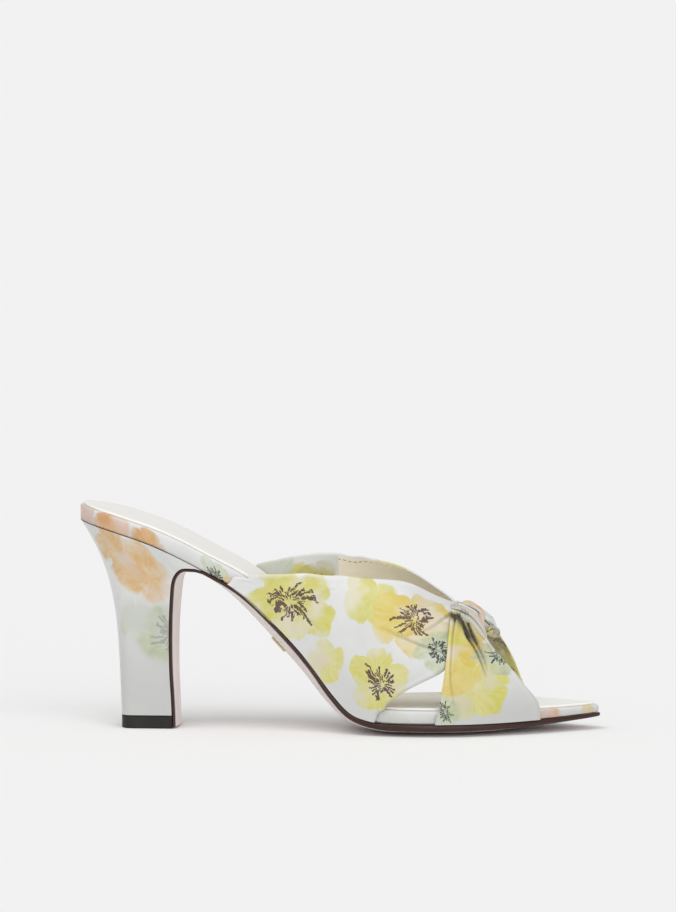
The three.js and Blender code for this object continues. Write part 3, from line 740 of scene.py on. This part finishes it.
gilt, tree, shader = new_finish("gilt")
brushed = node(tree, "ShaderNodeTexCoord").outputs["Object"]
brushed = plain_noise(tree, brushed, 900.0, 3.0)
look = {
    "Base Color": blend(tree, brushed, opaque((0.80, 0.62, 0.30)), opaque((0.70, 0.52, 0.24))),
    "Metallic": 1.0,
    "Roughness": ramp(tree, brushed, 0.3, 0.7, 0.2, 0.34),
}
fill(tree, shader, look)
plate_rings = []
plate_reach = PLATE_LENGTH / steepness(PLATE_ALONG * LENGTH - HEEL_SETBACK) / LENGTH
half_sole = BALL_WIDTH * plan_half(PLATE_ALONG) + SOLE_OVERHANG * outsole_reach(PLATE_ALONG)
for row in range(PLATE_ROWS + 1):
    along = PLATE_ALONG + plate_reach * (row / PLATE_ROWS - 0.5)
    ring = []
    for below, way in ((GAP * 0.3, 1), (GAP + PLATE_THICKNESS, -1)):
        for step in range(PLATE_STEPS + 1):
            across = (PLATE_WIDTH / 2 / half_sole) * (2 * step / PLATE_STEPS - 1) * way
            ring.append((sole_point(along, across, 1.0, 0.0, below), (0, 0)))
    plate_rings.append(ring)
plate = loft("sole_plate_gilt", plate_rings, [gilt])
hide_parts("sole_plate")

# Heel. A tall block covered in the printed satin, squarish at the tread, that swells into the round
# of the seat. Its front is closed by the flap of the outsole.
TREAD_ROUND = 7.0
TREAD_SQUARENESS = 3.2
BACK_TAPER, BACK_CURVE = 0.18, 4.5
HEEL_ROWS = 90
BACK_TURNS = 18
SIDE_STEPS = 14
BREAST_SAMPLES = 200


def heel_back(rise):
    return mix(-TREAD_LENGTH / 2, -HEEL_SETBACK, eased(rise, BACK_TAPER, BACK_CURVE))


def heel_height(x, rise):
    return mix(TOP_PIECE_HEIGHT + GAP, outsole_top(x), rise)


breast_steps = [(len(BREAST) - 1) * i / BREAST_SAMPLES for i in range(BREAST_SAMPLES + 1)]
breast_line = [breast_point(step) - breast_facing(step) * GAP for step in breast_steps]


def heel_front(rise):
    """Place where this level of the heel meets the inside of the breast leather."""
    before = breast_line[0]
    for after in breast_line[1:]:
        if after.y >= heel_height(after.x, rise):
            ends = [heel_height(at.x, rise) - at.y for at in (before, after)]
            share = ends[0] / (ends[0] - ends[1]) if ends[0] > 0 else 0.0
            return mix(before.x, after.x, share)
        before = after
    return breast_line[-1].x


def heel_ring(rise, front, height):
    back = heel_back(rise)
    length = mix(TREAD_ROUND, SEAT_ROUND, eased(rise, BACK_TAPER, BACK_CURVE))
    power = mix(TREAD_SQUARENESS, 2.0, rise)
    places = [(mix(front, back + length, i / SIDE_STEPS), 1.0) for i in range(SIDE_STEPS)]
    for i in range(BACK_TURNS):
        turn = math.pi / 2 * (1 - i / BACK_TURNS)
        reach = length * (1 - math.cos(turn) ** (2 / power))
        places.append((back + reach, end_round(reach, length, power)))
    half = []
    for side in (OUTER, INNER):
        points = []
        for x, width in places:
            y = heel_middle(x, rise) + side * heel_half(x, rise) * width
            points.append(Vector((x, y, height(x))))
        half.append(points)
    tail = Vector((back, heel_middle(back, rise), height(back)))
    loop = [*half[0], tail, *reversed(half[1])]
    arcs = [0.0]
    for a, b in zip(loop, loop[1:]):
        arcs.append(arcs[-1] + (b - a).length)
    middle = arcs[len(half[0])]
    ring = [(point, (middle - arc, point.z)) for point, arc in zip(loop, arcs)]
    for share in (0.35, 0.65):
        ring.append((loop[-1].lerp(loop[0], share), (0, 0)))
    return ring


heel_satin = printed_satin(
    "heel_satin",
    [
        ((30, 76), 20, 200, 5, 0.85, 0.0, 1.0, 0.16, PEACH),
        ((36, 66), 12, 75, 3, 1.5, 0.0, 0.95, 0.25, PEACH),
        ((38, 42), 15, 250, 3, 1.3, 0.35, 0.8, 0.3, SAGE),
        ((22, 48), 10, 20, 2, 1.5, 0.0, 0.6, 0.4, SAGE),
        ((50, 88), 11, 20, 3, 0.6, 0, 0.8, 0.3, PEACH),
        ((-24, 66), 17, 40, 5, 0.9, 1, 0.8, 0.1, YELLOW),
        ((-34, 34), 12, 80, 3, 0.8, 0, 0.6, 0.3, SAGE),
    ],
    # painted shade: the heel's satin darkens towards the tread
    painted_shade_span=(72, 12),
)
heel_rings = []
for row in range(HEEL_ROWS + 1):
    rise = row / HEEL_ROWS
    heel_rings.append(heel_ring(rise, heel_front(rise), lambda x: heel_height(x, rise)))
heel = loft("heel_cover", heel_rings, [heel_satin], crease=0.9)
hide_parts("heel")

# Top piece. A slab of hard dark rubber, nailed under the heel and then ground flush with the edge of
# its cover.
top_rubber = leather("top_rubber", (0.011, 0.008, 0.007), (0.007, 0.005, 0.004), 0.6, 1.6, 0.5)
# height and inset of each level, in millimetres
levels = [(0.0, 0.35), (0.35, 0.0), (2.7, 0.0), (5.2, 0.0), (TOP_PIECE_HEIGHT, 0.3)]
rubber_rings = []
for z, inset in levels:
    ring = heel_ring(0.0, TREAD_LENGTH / 2, lambda x: z)
    shrink = 1 - inset / (TREAD_LENGTH / 2)
    rubber_rings.append(
        [(Vector((at.x * shrink, at.y * shrink, at.z)), flat) for at, flat in ring]
    )
top_piece = loft("top_piece_rubber", rubber_rings, [top_rubber])
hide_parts("top_piece")

# Straps. Four bands of satin, padded with a thin interlining and turned in along their edges, rise
# beside the footbed and cross on the instep. The far rear one shows its inside, which is faced with
# satin at the back and lined with plain cream cloth, stitched down, from there on.
INSTEP_DEPTH = 68.0
LAST_SQUARENESS = 2.3
LAST_RIDGE = 0.04
LAST_EASE = 7
LAST_MARGIN = 5
LAST_BLEND = 0.25
CLOTH_HEIGHT = 2.0
# girths where the cloth's run is measured, from the sole to a little past the crown
GIRTHS = [-1.0, *(i / 40 for i in range(49))]
WALL = 1.7
EDGE_WALL = 0.6
SKIVE_REACH = 6
LAYER = 0.25
OVERLAP_LIFT = 1.5
EDGE_EASE = 0.04
EASE_STEPS = 4
SKIRT_ROWS = 10
ROW_SPREAD = 1.3
EDGE_CROWDING = 0.75
# height, distance from the edge and reach of the roll along each turned edge
EDGE_ROLL = 0.35
EDGE_ROLL_PLACE = 1.8
EDGE_ROLL_REACH = 1.3
# a pleat's fading along it, its drop and the drop's reach as shares, softness and shade's place
PLEAT_FADE = 0.6
PLEAT_DROP = 0.5
PLEAT_DROP_REACH = 0.4
PLEAT_SOFTNESS = 0.3
PLEAT_SHADE_PLACE = 0.25
# girth and distance from the edge within which pleats flatten, and what is left of them at the edge
PLEAT_START = 0.125
PLEAT_MARGIN = 3
PLEAT_LEFT = 0.25
LINING_SHADE = 0.5
last_crown = curve_through(PROFILE, 3)

# girth round the last, and the strap's rear and front edges as shares of LENGTH
REAR_OUTER = (
    (-1.0, 0.295, 0.583),
    (0.0, 0.334, 0.603),
    (0.08, 0.374, 0.65),
    (0.19, 0.425, 0.706),
    (0.34, 0.489, 0.726),
    (0.42, 0.511, 0.73),
    (0.5, 0.536, 0.734),
    (0.57, 0.567, 0.736),
    (0.64, 0.606, 0.738),
    (0.72, 0.642, 0.741),
    (0.79, 0.677, 0.744),
    (1.0, 0.72, 0.757),
    (1.12, 0.723, 0.76),
)
REAR_INNER = (
    (-1.0, 0.297, 0.575),
    (0.0, 0.328, 0.597),
    (0.08, 0.363, 0.636),
    (0.19, 0.404, 0.69),
    (0.34, 0.464, 0.721),
    (0.5, 0.516, 0.731),
    (0.64, 0.556, 0.737),
    (0.79, 0.656, 0.742),
    (1.0, 0.719, 0.757),
    (1.12, 0.722, 0.76),
)
FRONT_OUTER = (
    (-1.0, 0.697, 0.89),
    (0.0, 0.705, 0.889),
    (0.15, 0.712, 0.88),
    (0.29, 0.716, 0.86),
    (0.44, 0.718, 0.838),
    (0.57, 0.719, 0.81),
    (0.72, 0.72, 0.786),
    (1.0, 0.725, 0.785),
    (1.12, 0.727, 0.786),
)
FRONT_INNER = (
    (-1.0, 0.688, 0.855),
    (0.0, 0.696, 0.852),
    (0.21, 0.708, 0.838),
    (0.4, 0.715, 0.826),
    (0.59, 0.719, 0.811),
    (0.8, 0.722, 0.799),
    (1.0, 0.725, 0.798),
    (1.12, 0.727, 0.795),
)

last_start = -math.ceil(HEEL_SETBACK) - LAST_MARGIN
last_tops = [
    sum(board_top(last_start + i + off) for off in range(-LAST_EASE, LAST_EASE + 1))
    / (2 * LAST_EASE + 1)
    for i in range(math.ceil(LENGTH) + 2 * LAST_MARGIN)
]


def last_top(x):
    """Height of the last's foot bed, a little more flowing than the board's."""
    i = int(hold(x - last_start, 0, len(last_tops) - 2))
    return mix(last_tops[i], last_tops[i + 1], x - last_start - i)


def last_point(side, along, girth, offset):
    """Point on the last. Past the crown, where girth is 1, it goes on down the other side."""
    near = side if girth <= 1 else -side
    turn = girth if girth <= 1 else 2 - girth
    edge = rail(near, round(along, 5), round(offset, 3))
    top = board_top(edge.x)
    if turn <= 0:
        return Vector((edge.x, edge.y, mix(top, underside(edge.x), -turn)))
    top = mix(top, last_top(edge.x), min(turn / LAST_BLEND, 1))
    ridge = BALL_WIDTH * (plan_shift(along) + LAST_RIDGE)
    power = 2 / LAST_SQUARENESS
    swing = turn * math.pi / 2
    crown = INSTEP_DEPTH * last_crown(along) - GAP - WALL + offset
    y = mix(ridge, edge.y, math.cos(swing) ** power)
    return Vector((edge.x, y, top + crown * math.sin(swing) ** power))


@functools.lru_cache(maxsize=None)
def girth_walk(side, x):
    """How far the cloth has run by each girth round the last, at one place along it."""
    points = [last_point(side, along_of(x), girth, CLOTH_HEIGHT) for girth in GIRTHS]
    run = [underside(x)]
    for a, b in zip(points, points[1:]):
        run.append(run[-1] + math.hypot(b.y - a.y, b.z - a.z))
    return run


def cloth_at(side, x, girth):
    run = girth_walk(side, float(round(x)))
    i = int(hold(bisect.bisect_right(GIRTHS, girth) - 1, 0, len(GIRTHS) - 2))
    share = (girth - GIRTHS[i]) / (GIRTHS[i + 1] - GIRTHS[i])
    return (x, mix(run[i], run[i + 1], share))


def girth_at(x, z, side=OUTER):
    """Girth at which the last has this height, on one side."""
    low, high = 0.0, 1.0
    for _ in range(20):
        middle = (low + high) / 2
        if last_point(side, along_of(x), middle, CLOTH_HEIGHT).z < z:
            low = middle
        else:
            high = middle
    return low


def seen(side, place):
    """Place on the flat cloth of the point at this distance forward and height."""
    return cloth_at(side, place[0], girth_at(*place, side))


def flowing(points):
    """The points of a crease with rounded turns between them."""
    ends = [points[0], *points, points[-1]]
    line = []
    for a, b, c, d in zip(ends, ends[1:], ends[2:], ends[3:]):
        for step in range(5):
            t = step / 5
            weights = (
                -t / 2 + t**2 - t**3 / 2,
                1 - 2.5 * t**2 + 1.5 * t**3,
                t / 2 + 2 * t**2 - 1.5 * t**3,
                (t**3 - t**2) / 2,
            )
            line.append(
                tuple(sum(w * p[axis] for w, p in zip(weights, (a, b, c, d))) for axis in (0, 1))
            )
    return [*line, points[-1]]


def pleat(at, line, depth, reach, shade, narrow=0.45):
    """Relief and shade of one pleat: the cloth swells up to the line and drops sharply after it. A
    negative reach swells on the rear side. The pleat dies away from the line's first point."""
    lengths = [math.dist(a, b) for a, b in zip(line, line[1:])]
    nearest, walked = (math.inf, 0.0, 0.0), 0.0
    for a, b, length in zip(line, line[1:], lengths):
        run_x, run_y = (b[0] - a[0]) / length, (b[1] - a[1]) / length
        to_x, to_y = at[0] - a[0], at[1] - a[1]
        share = hold(to_x * run_x + to_y * run_y, 0, length)
        off_x, off_y = to_x - run_x * share, to_y - run_y * share
        distance = math.hypot(off_x, off_y)
        across = math.copysign(distance, run_x * off_y - run_y * off_x)
        nearest = min(nearest, (distance, across, walked + share))
        walked += length
    distance, across, walked = nearest
    across = math.copysign(1, reach) * across
    reach = abs(reach)
    fade = max(1 - walked / sum(lengths), 0.0) ** PLEAT_FADE
    if distance > 4 * reach or fade == 0:
        return 0.0, 0.0
    swell = depth * math.exp(-max(across, 0) / reach)
    drop = -PLEAT_DROP * depth * math.exp(min(across, 0) / (PLEAT_DROP_REACH * reach))
    relief = mix(drop, swell, 0.5 + 0.5 * math.tanh(across / PLEAT_SOFTNESS))
    return fade * relief, fade * shade * math.exp(-(((across + PLEAT_SHADE_PLACE) / narrow) ** 2))


def eased_edge(curve, girth):
    """The edge drawn a little smoother than its table, as a cutting pattern would be."""
    window, steps = hold(girth, 0, EDGE_EASE), range(-EASE_STEPS, EASE_STEPS + 1)
    return sum(curve(girth + window * step / EASE_STEPS) for step in steps) / len(steps)


def strap_rings(rows, side, stand, lift, pleats, steps, rows_up):
    """Rings round a strap: across its outer face from the rear edge, and back along the lining."""
    pleats = [(flowing([seen(side, at) for at in line]), *shape) for line, *shape in pleats]
    last_girth = rows[-1][0]
    girths = [-1 + i / SKIRT_ROWS for i in range(SKIRT_ROWS)]
    girths += [last_girth * (i / rows_up) ** ROW_SPREAD for i in range(rows_up + 1)]
    rings = []
    rear_curve, front_curve = curve_through(rows, 1), curve_through(rows, 2)
    for girth in girths:
        outer, inner = [], []
        turn = hold(girth, 0, 1)
        rear, front = eased_edge(rear_curve, girth), eased_edge(front_curve, girth)
        width = (front - rear) * LENGTH
        for step in range(steps + 1):
            even = step / steps
            share = mix(even, 0.5 - 0.5 * math.cos(math.pi * even), EDGE_CROWDING)
            along = mix(rear, front, share)
            from_edge = min(share, 1 - share) * width
            wall = WALL * mix(EDGE_WALL, 1, hold(from_edge / SKIVE_REACH, 0, 1))
            body = math.sqrt(1 - hold(1 - from_edge / wall, 0, 1) ** 2) * wall
            roll = math.exp(-(((from_edge - EDGE_ROLL_PLACE) / EDGE_ROLL_REACH) ** 2))
            roll *= EDGE_ROLL
            flat = cloth_at(side, along * LENGTH - HEEL_SETBACK, girth)
            found = [pleat(flat, *line) for line in pleats]
            calm = hold(girth / PLEAT_START, 0, 1) * hold(from_edge / PLEAT_MARGIN, PLEAT_LEFT, 1)
            relief = sum(each[0] for each in found) * calm
            shade = hold(sum(each[1] for each in found), 0, 1)
            # the front straps stand off where they cross the rear ones
            raised = lift * 4 * turn * (1 - turn) * (1 - share) ** 2
            middle = GAP + stand + raised + WALL / 2 + relief
            cloth = (*flat, from_edge, shade)
            outer.append((last_point(side, along, girth, middle + body / 2 + roll), cloth))
            cloth = (*flat, from_edge, shade * LINING_SHADE)
            inner.append((last_point(side, along, girth, middle - body / 2), cloth))
        rings.append(outer + inner[::-1])
    return rings


# blossoms, and pleats given by their line, depth, reach, shade and the shade's width, all placed by
# distance forward and height
rear_outer = (
    [
        ((66, 57), 21, 30, 5, 0.9, 1, 0.95, 0.07, YELLOW),
        ((81, 31), 11, 80, 4, 0.9, 0, 0.9, 0.1, YELLOW),
        ((101, 58), 15, 60, 4, 0.85, 0, 0.9, 0.12, YELLOW),
        ((119, 50), 20, 10, 5, 0.85, 1, 0.95, 0.07, GOLD),
        ((105, 24), 17, 60, 5, 0.85, 1, 0.92, 0.08, YELLOW),
        ((130, 37), 12, 10, 4, 0.9, 1, 0.9, 0.15, SAGE),
    ],
    [
        ([(134, 36), (122, 40), (104, 48)], 1.1, -3.0, 0.4),
        ([(135, 52), (126, 47), (112, 43)], 0.9, -3.0, 0.3),
        ([(134, 54), (120, 55), (104, 52)], 0.7, 3.5, 0.12),
        ([(84, 63), (78, 60), (68, 54)], 0.5, 3.0, 0.2),
        ([(62, 60), (76, 48), (88, 34)], 0.5, 4.0, 0.08),
        ([(136, 56), (134.5, 50), (133.5, 42)], 0.9, -1.6, 1.2, 1.4),
    ],
)
rear_inner = (
    [
        ((54, 64), 13, 30, 4, 0.9, 0, 0.8, 0.15, SAGE),
        ((70, 60), 15, 30, 5, 0.9, 1, 0.95, 0.1, YELLOW),
        ((72, 66), 8, 80, 3, 1.3, 0, 0.8, 0.2, OLIVE),
        ((104, 58), 20, 70, 5, 0.85, 1, 0.9, 0.08, YELLOW),
        ((118, 34), 14, 10, 5, 0.9, 1, 0.85, 0.1, SAGE),
    ],
    [
        ([(134, 50), (108, 60)], 0.7, -3.0, 0.2),
        ([(133, 46), (104, 42)], 0.8, 4.0, 0.2),
    ],
)
front_outer = (
    [
        ((145, 21), 15, 45, 4, 1.05, 0, 0.95, 0.1, YELLOW),
        ((138, 38), 13, 20, 4, 1.2, 0, 0.95, 0.1, GOLD),
        ((154, 33), 12, 20, 5, 0.9, 1, 0.9, 0.12, SAGE),
        ((133, 9), 9, 80, 4, 0.8, 1, 0.8, 0.2, SAGE),
        ((136, 24), 7, 80, 3, 1.8, 0, 0.9, 0.2, GOLD),
        ((136, 46), 9, 0, 4, 1.2, 0, 0.95, 0.1, YELLOW),
    ],
    [
        ([(135.5, 50), (134.8, 36), (134.8, 24), (137, 9)], 1.3, 2.2, 0.55, 0.4),
        ([(137, 49), (139.5, 42), (144, 36), (149, 25)], 1.9, -1.7, 1.3, 0.6),
        ([(140.2, 47), (143.5, 41), (148, 33), (150, 27)], 1.5, 1.5, 1.2, 0.5),
        ([(143, 45), (148, 40), (153, 32)], 0.9, 1.6, 0.45, 0.4),
        ([(131, 52), (135, 49), (138, 45.5), (145, 38)], 1.2, -1.5, 1.5, 1.9),
        ([(138.4, 47.5), (141.5, 41), (146, 33)], 0.2, 1.5, 0.7, 1.0),
    ],
)
front_inner = (
    [
        ((148, 22), 17, 45, 5, 0.9, 1, 0.9, 0.1, YELLOW),
        ((153, 37), 13, 45, 4, 0.9, 0.7, 1.0, 0.12, OLIVE),
        ((143, 46), 5, 45, 4, 0.9, 0, 0.7, 0.2, PEACH),
    ],
    [
        ([(146, 47), (152, 38), (160, 26)], 1.2, -1.5, 0.6),
        ([(142, 48), (149, 38), (156, 24)], 1.0, 1.5, 0.6),
        ([(138, 50), (141, 38), (144, 26)], 0.9, 1.6, 0.4),
    ],
)

straps = []
# the outer straps' satin gets painted shade, darker towards the lower end of the span of heights in
# their row
for name, rows, side, layer, lift, (blooms, pleats), steps, rows_up, painted_shade_span, lined_from in (
    ("rear_strap_outer", REAR_OUTER, OUTER, 0, 0, rear_outer, 90, 120, (70, -20), None),
    ("rear_strap_inner", REAR_INNER, INNER, 1, 0, rear_inner, 70, 100, None, 82.0),
    ("front_strap_outer", FRONT_OUTER, OUTER, 2, OVERLAP_LIFT, front_outer, 110, 170, (38, 8), None),
    ("front_strap_inner", FRONT_INNER, INNER, 3, OVERLAP_LIFT, front_inner, 80, 110, None, None),
):
    blooms = [(seen(side, at), *shape) for at, *shape in blooms]
    outside = printed_satin(name + "_satin", blooms, painted_shade_span)
    inside = outside
    if lined_from:
        inside = printed_satin(name + "_lining", blooms, lined_from=lined_from)
    strap = loft(
        name,
        strap_rings(rows, side, layer * LAYER, lift, pleats, steps, rows_up),
        [outside, inside],
        lambda column, row: int(column > steps),
        crease=1.2,
    )
    straps.append(strap)

# Knot. The rear straps' ends are drawn round each other into two soft rolls of pleated satin, one
# tucked over the outer side and one over the crown, which also hold the front straps.
ROLL_WIDTH = 8.4
ROLL_THICKNESS = 6.0
ROLL_STEPS = 80
ROLL_SIDES = 112
ROLL_END = 0.004
ROLL_TAPER = 0.4
# where the cloth of a roll starts and how long it is, and how much shade is painted into its grooves
ROLL_CLOTH_START, ROLL_CLOTH_LENGTH = 130, 22
GROOVE_SHADE, GROOVE_SHADE_START, GROOVE_SHADE_MOST = 2.2, 0.15, 0.8

# along the shoe, girth, height over the straps, width and thickness as shares
NEAR_ROLL = (
    (0.716, 0.77, 0.6, 1.05, 0.7),
    (0.733, 0.79, 1.2, 1.1, 0.95),
    (0.751, 0.78, 1.5, 1.0, 1.0),
    (0.768, 0.73, 1.2, 0.8, 0.85),
    (0.785, 0.66, 0.5, 0.45, 0.5),
)
FAR_ROLL = (
    (0.724, 1.0, 0.2, 1.1, 0.6),
    (0.742, 1.01, 0.9, 1.6, 0.9),
    (0.762, 1.02, 1.4, 1.8, 1.1),
    (0.781, 1.01, 1.5, 1.7, 1.1),
    (0.797, 1.0, 0.8, 1.2, 0.8),
)
# narrow folds between the rolls and under the end of the crown roll: place forward and height on the
# outer side, then height over the straps, width and thickness as shares.
SIDE_FOLD = (
    (136.5, 56.0, 2.0, 0.25, 0.4),
    (139.5, 53.0, 3.3, 0.4, 0.5),
    (143.0, 48.5, 3.4, 0.4, 0.5),
    (146.5, 43.5, 1.6, 0.22, 0.3),
)
END_FOLD = (
    (147.0, 42.5, 0.4, 0.4, 0.5),
    (149.0, 42.5, 1.0, 0.8, 0.8),
    (151.0, 41.5, 1.0, 0.8, 0.8),
    (153.0, 40.0, 0.3, 0.4, 0.4),
)


def small_fold(places):
    return [(along_of(x), girth_at(x, z), *sizes) for x, z, *sizes in places]


def roll_rings(rows, pleats):
    """Rings round one roll of the knot, with pleats running along it."""
    rows = [(step, *row) for step, row in enumerate(rows)]
    along, girth, over, wide, thick = (curve_through(rows, column) for column in range(1, 6))

    def middle(step, extra=0.0):
        return last_point(OUTER, along(step), girth(step), GAP + WALL + over(step) + extra)

    rings = []
    for row in range(ROLL_STEPS + 1):
        share = row / ROLL_STEPS
        step = (len(rows) - 1) * share
        centre = middle(step)
        run = (middle(step + 0.1) - middle(step - 0.1)).normalized()
        up = middle(step, 1.0) - centre
        up = (up - run * up.dot(run)).normalized()
        out = run.cross(up)
        fade = math.sin(math.pi * hold(share, ROLL_END, 1 - ROLL_END)) ** ROLL_TAPER
        ring = []
        for corner in range(ROLL_SIDES):
            turn = 2 * math.pi * corner / ROLL_SIDES
            groove = 0.0
            for place, deep, narrow, drift in pleats:
                away = (turn - place - drift * (share - 0.5) + math.pi) % (2 * math.pi) - math.pi
                swell = 0.35 * math.exp(-(((away - 2.4 * narrow) / (1.6 * narrow)) ** 2))
                groove += deep * (math.exp(-((away / narrow) ** 2)) - swell)
            size = fade * (1 - groove)
            reach = out * (ROLL_WIDTH / 2 * wide(step) * size * math.cos(turn))
            rise = up * (ROLL_THICKNESS / 2 * thick(step) * size * math.sin(turn))
            flat = share * ROLL_CLOTH_LENGTH + ROLL_CLOTH_START, turn * ROLL_WIDTH / 2 * wide(step)
            shade = hold(GROOVE_SHADE * groove - GROOVE_SHADE_START, 0, GROOVE_SHADE_MOST)
            ring.append((centre + reach + rise, (*flat, 0, shade)))
        rings.append(ring)
    return rings


near_knot_satin = printed_satin(
    "near_knot_satin",
    [
        ((141, 6), 24, 10, 5, 0.9, 0, 1.0, 0.1, STONE),
        ((142, 9.5), 8, 5, 2, 0.3, 0, 1.0, 0.25, PEACH),
        ((137, 4), 7, 10, 3, 0.6, 0.6, 0.3, 0.3, SAGE),
    ],
)
crown_knot_satin = printed_satin(
    "crown_knot_satin",
    [
        ((137, 7), 9, 10, 3, 0.5, 0, 0.5, 0.3, SAGE),
        ((147, 12), 6, 10, 3, 0.5, 1, 0.6, 0.3, SAGE),
        ((150, 3), 6, 10, 4, 0.7, 1, 0.5, 0.3, SAGE),
    ],
)
side_fold_satin = printed_satin(
    "side_fold_satin", [((141, 2), 24, 10, 5, 0.9, 0, 1.0, 0.1, AMBER)]
)
end_fold_satin = printed_satin(
    "end_fold_satin", [((141, 4), 20, 10, 3, 0.9, 0.5, 1.0, 0.1, OLIVE)]
)
# place round the roll, depth, width and drift of each pleat
near_pleats = [(1.0, 0.28, 0.12, 0.9), (2.2, 0.34, 0.13, 0.4)]
crown_pleats = [(0.35, 0.3, 0.12, -0.8), (1.1, 0.26, 0.12, 0.7)]
for name, rows, pleats, satin in (
    ("knot_roll_outer", NEAR_ROLL, near_pleats, near_knot_satin),
    ("knot_roll_crown", FAR_ROLL, crown_pleats, crown_knot_satin),
    ("knot_side_fold", small_fold(SIDE_FOLD), [], side_fold_satin),
    ("knot_end_fold", small_fold(END_FOLD), [(1.2, 0.3, 0.2, 0.3)], end_fold_satin),
):
    roll = loft(name, roll_rings(rows, pleats), [satin], crease=1.5)
    straps.append(roll)
for strap in straps:
    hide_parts("upper")

# Camera. The shoe is seen from its outer side and a little from the front and above, from far off,
# so that near and far edges keep nearly the same size.
VIEW_TURN = math.radians(5.0)
VIEW_RISE = math.radians(4.0)
VIEW_DISTANCE = 3.2
VIEW_CENTRE = Vector((0.0832, 0.0, 0.119))
PIXELS_PER_METRE = 2290
PHOTO_LONG_SIDE = 912
SENSOR = 36.0

level_way = math.cos(VIEW_RISE)
toward_camera = Vector(
    (math.sin(VIEW_TURN) * level_way, -math.cos(VIEW_TURN) * level_way, math.sin(VIEW_RISE))
)
camera_data = bpy.data.cameras.new("camera")
camera_data.sensor_width = SENSOR
camera_data.lens = PIXELS_PER_METRE * VIEW_DISTANCE / PHOTO_LONG_SIDE * SENSOR
camera_data.clip_end = 200.0
camera = bpy.data.objects.new("camera", camera_data)
camera.location = VIEW_CENTRE + toward_camera * VIEW_DISTANCE
camera.rotation_euler = (-toward_camera).to_track_quat("-Z", "Y").to_euler()
bpy.context.collection.objects.link(camera)
bpy.context.scene.camera = camera

# Floor and light. A very wide pale floor, an even sky and two broad suns, one high and one low in
# front, give the soft shade and the faint shadow of a studio table.
FLOOR_RADIUS = 80.0
PAPER = (0.879, 0.879, 0.879)
SKY_STRENGTH = 0.56

floor_mesh = bmesh.new()
bmesh.ops.create_circle(floor_mesh, cap_ends=True, segments=96, radius=FLOOR_RADIUS)
floor_data = bpy.data.meshes.new("floor")
floor_mesh.to_mesh(floor_data)
floor_mesh.free()
floor = bpy.data.objects.new("floor", floor_data)
bpy.context.collection.objects.link(floor)
paper, tree, shader = new_finish("paper")
fill(tree, shader, {"Base Color": opaque(PAPER), "Roughness": 0.9, "Specular IOR Level": 0.0})
floor_data.materials.append(paper)

sky = bpy.data.worlds.new("sky")
bpy.context.scene.world = sky
sky.use_nodes = True
air = {"Color": (1.0, 1.0, 1.0, 1.0), "Strength": SKY_STRENGTH}
fill(sky.node_tree, sky.node_tree.nodes["Background"], air)
# power, spread, tilt and turn of each sun
for name, power, spread, tilt, turn in (
    ("sun_high", 1.05, 40, 25, -35),
    ("sun_front", 0.96, 60, 62, 20),
):
    sun_data = bpy.data.lights.new(name, "SUN")
    sun_data.energy = power
    sun_data.angle = math.radians(spread)
    sun = bpy.data.objects.new(name, sun_data)
    sun.rotation_euler = (math.radians(tilt), 0.0, math.radians(turn))
    bpy.context.collection.objects.link(sun)
bpy.context.scene.view_settings.view_transform = "Standard"
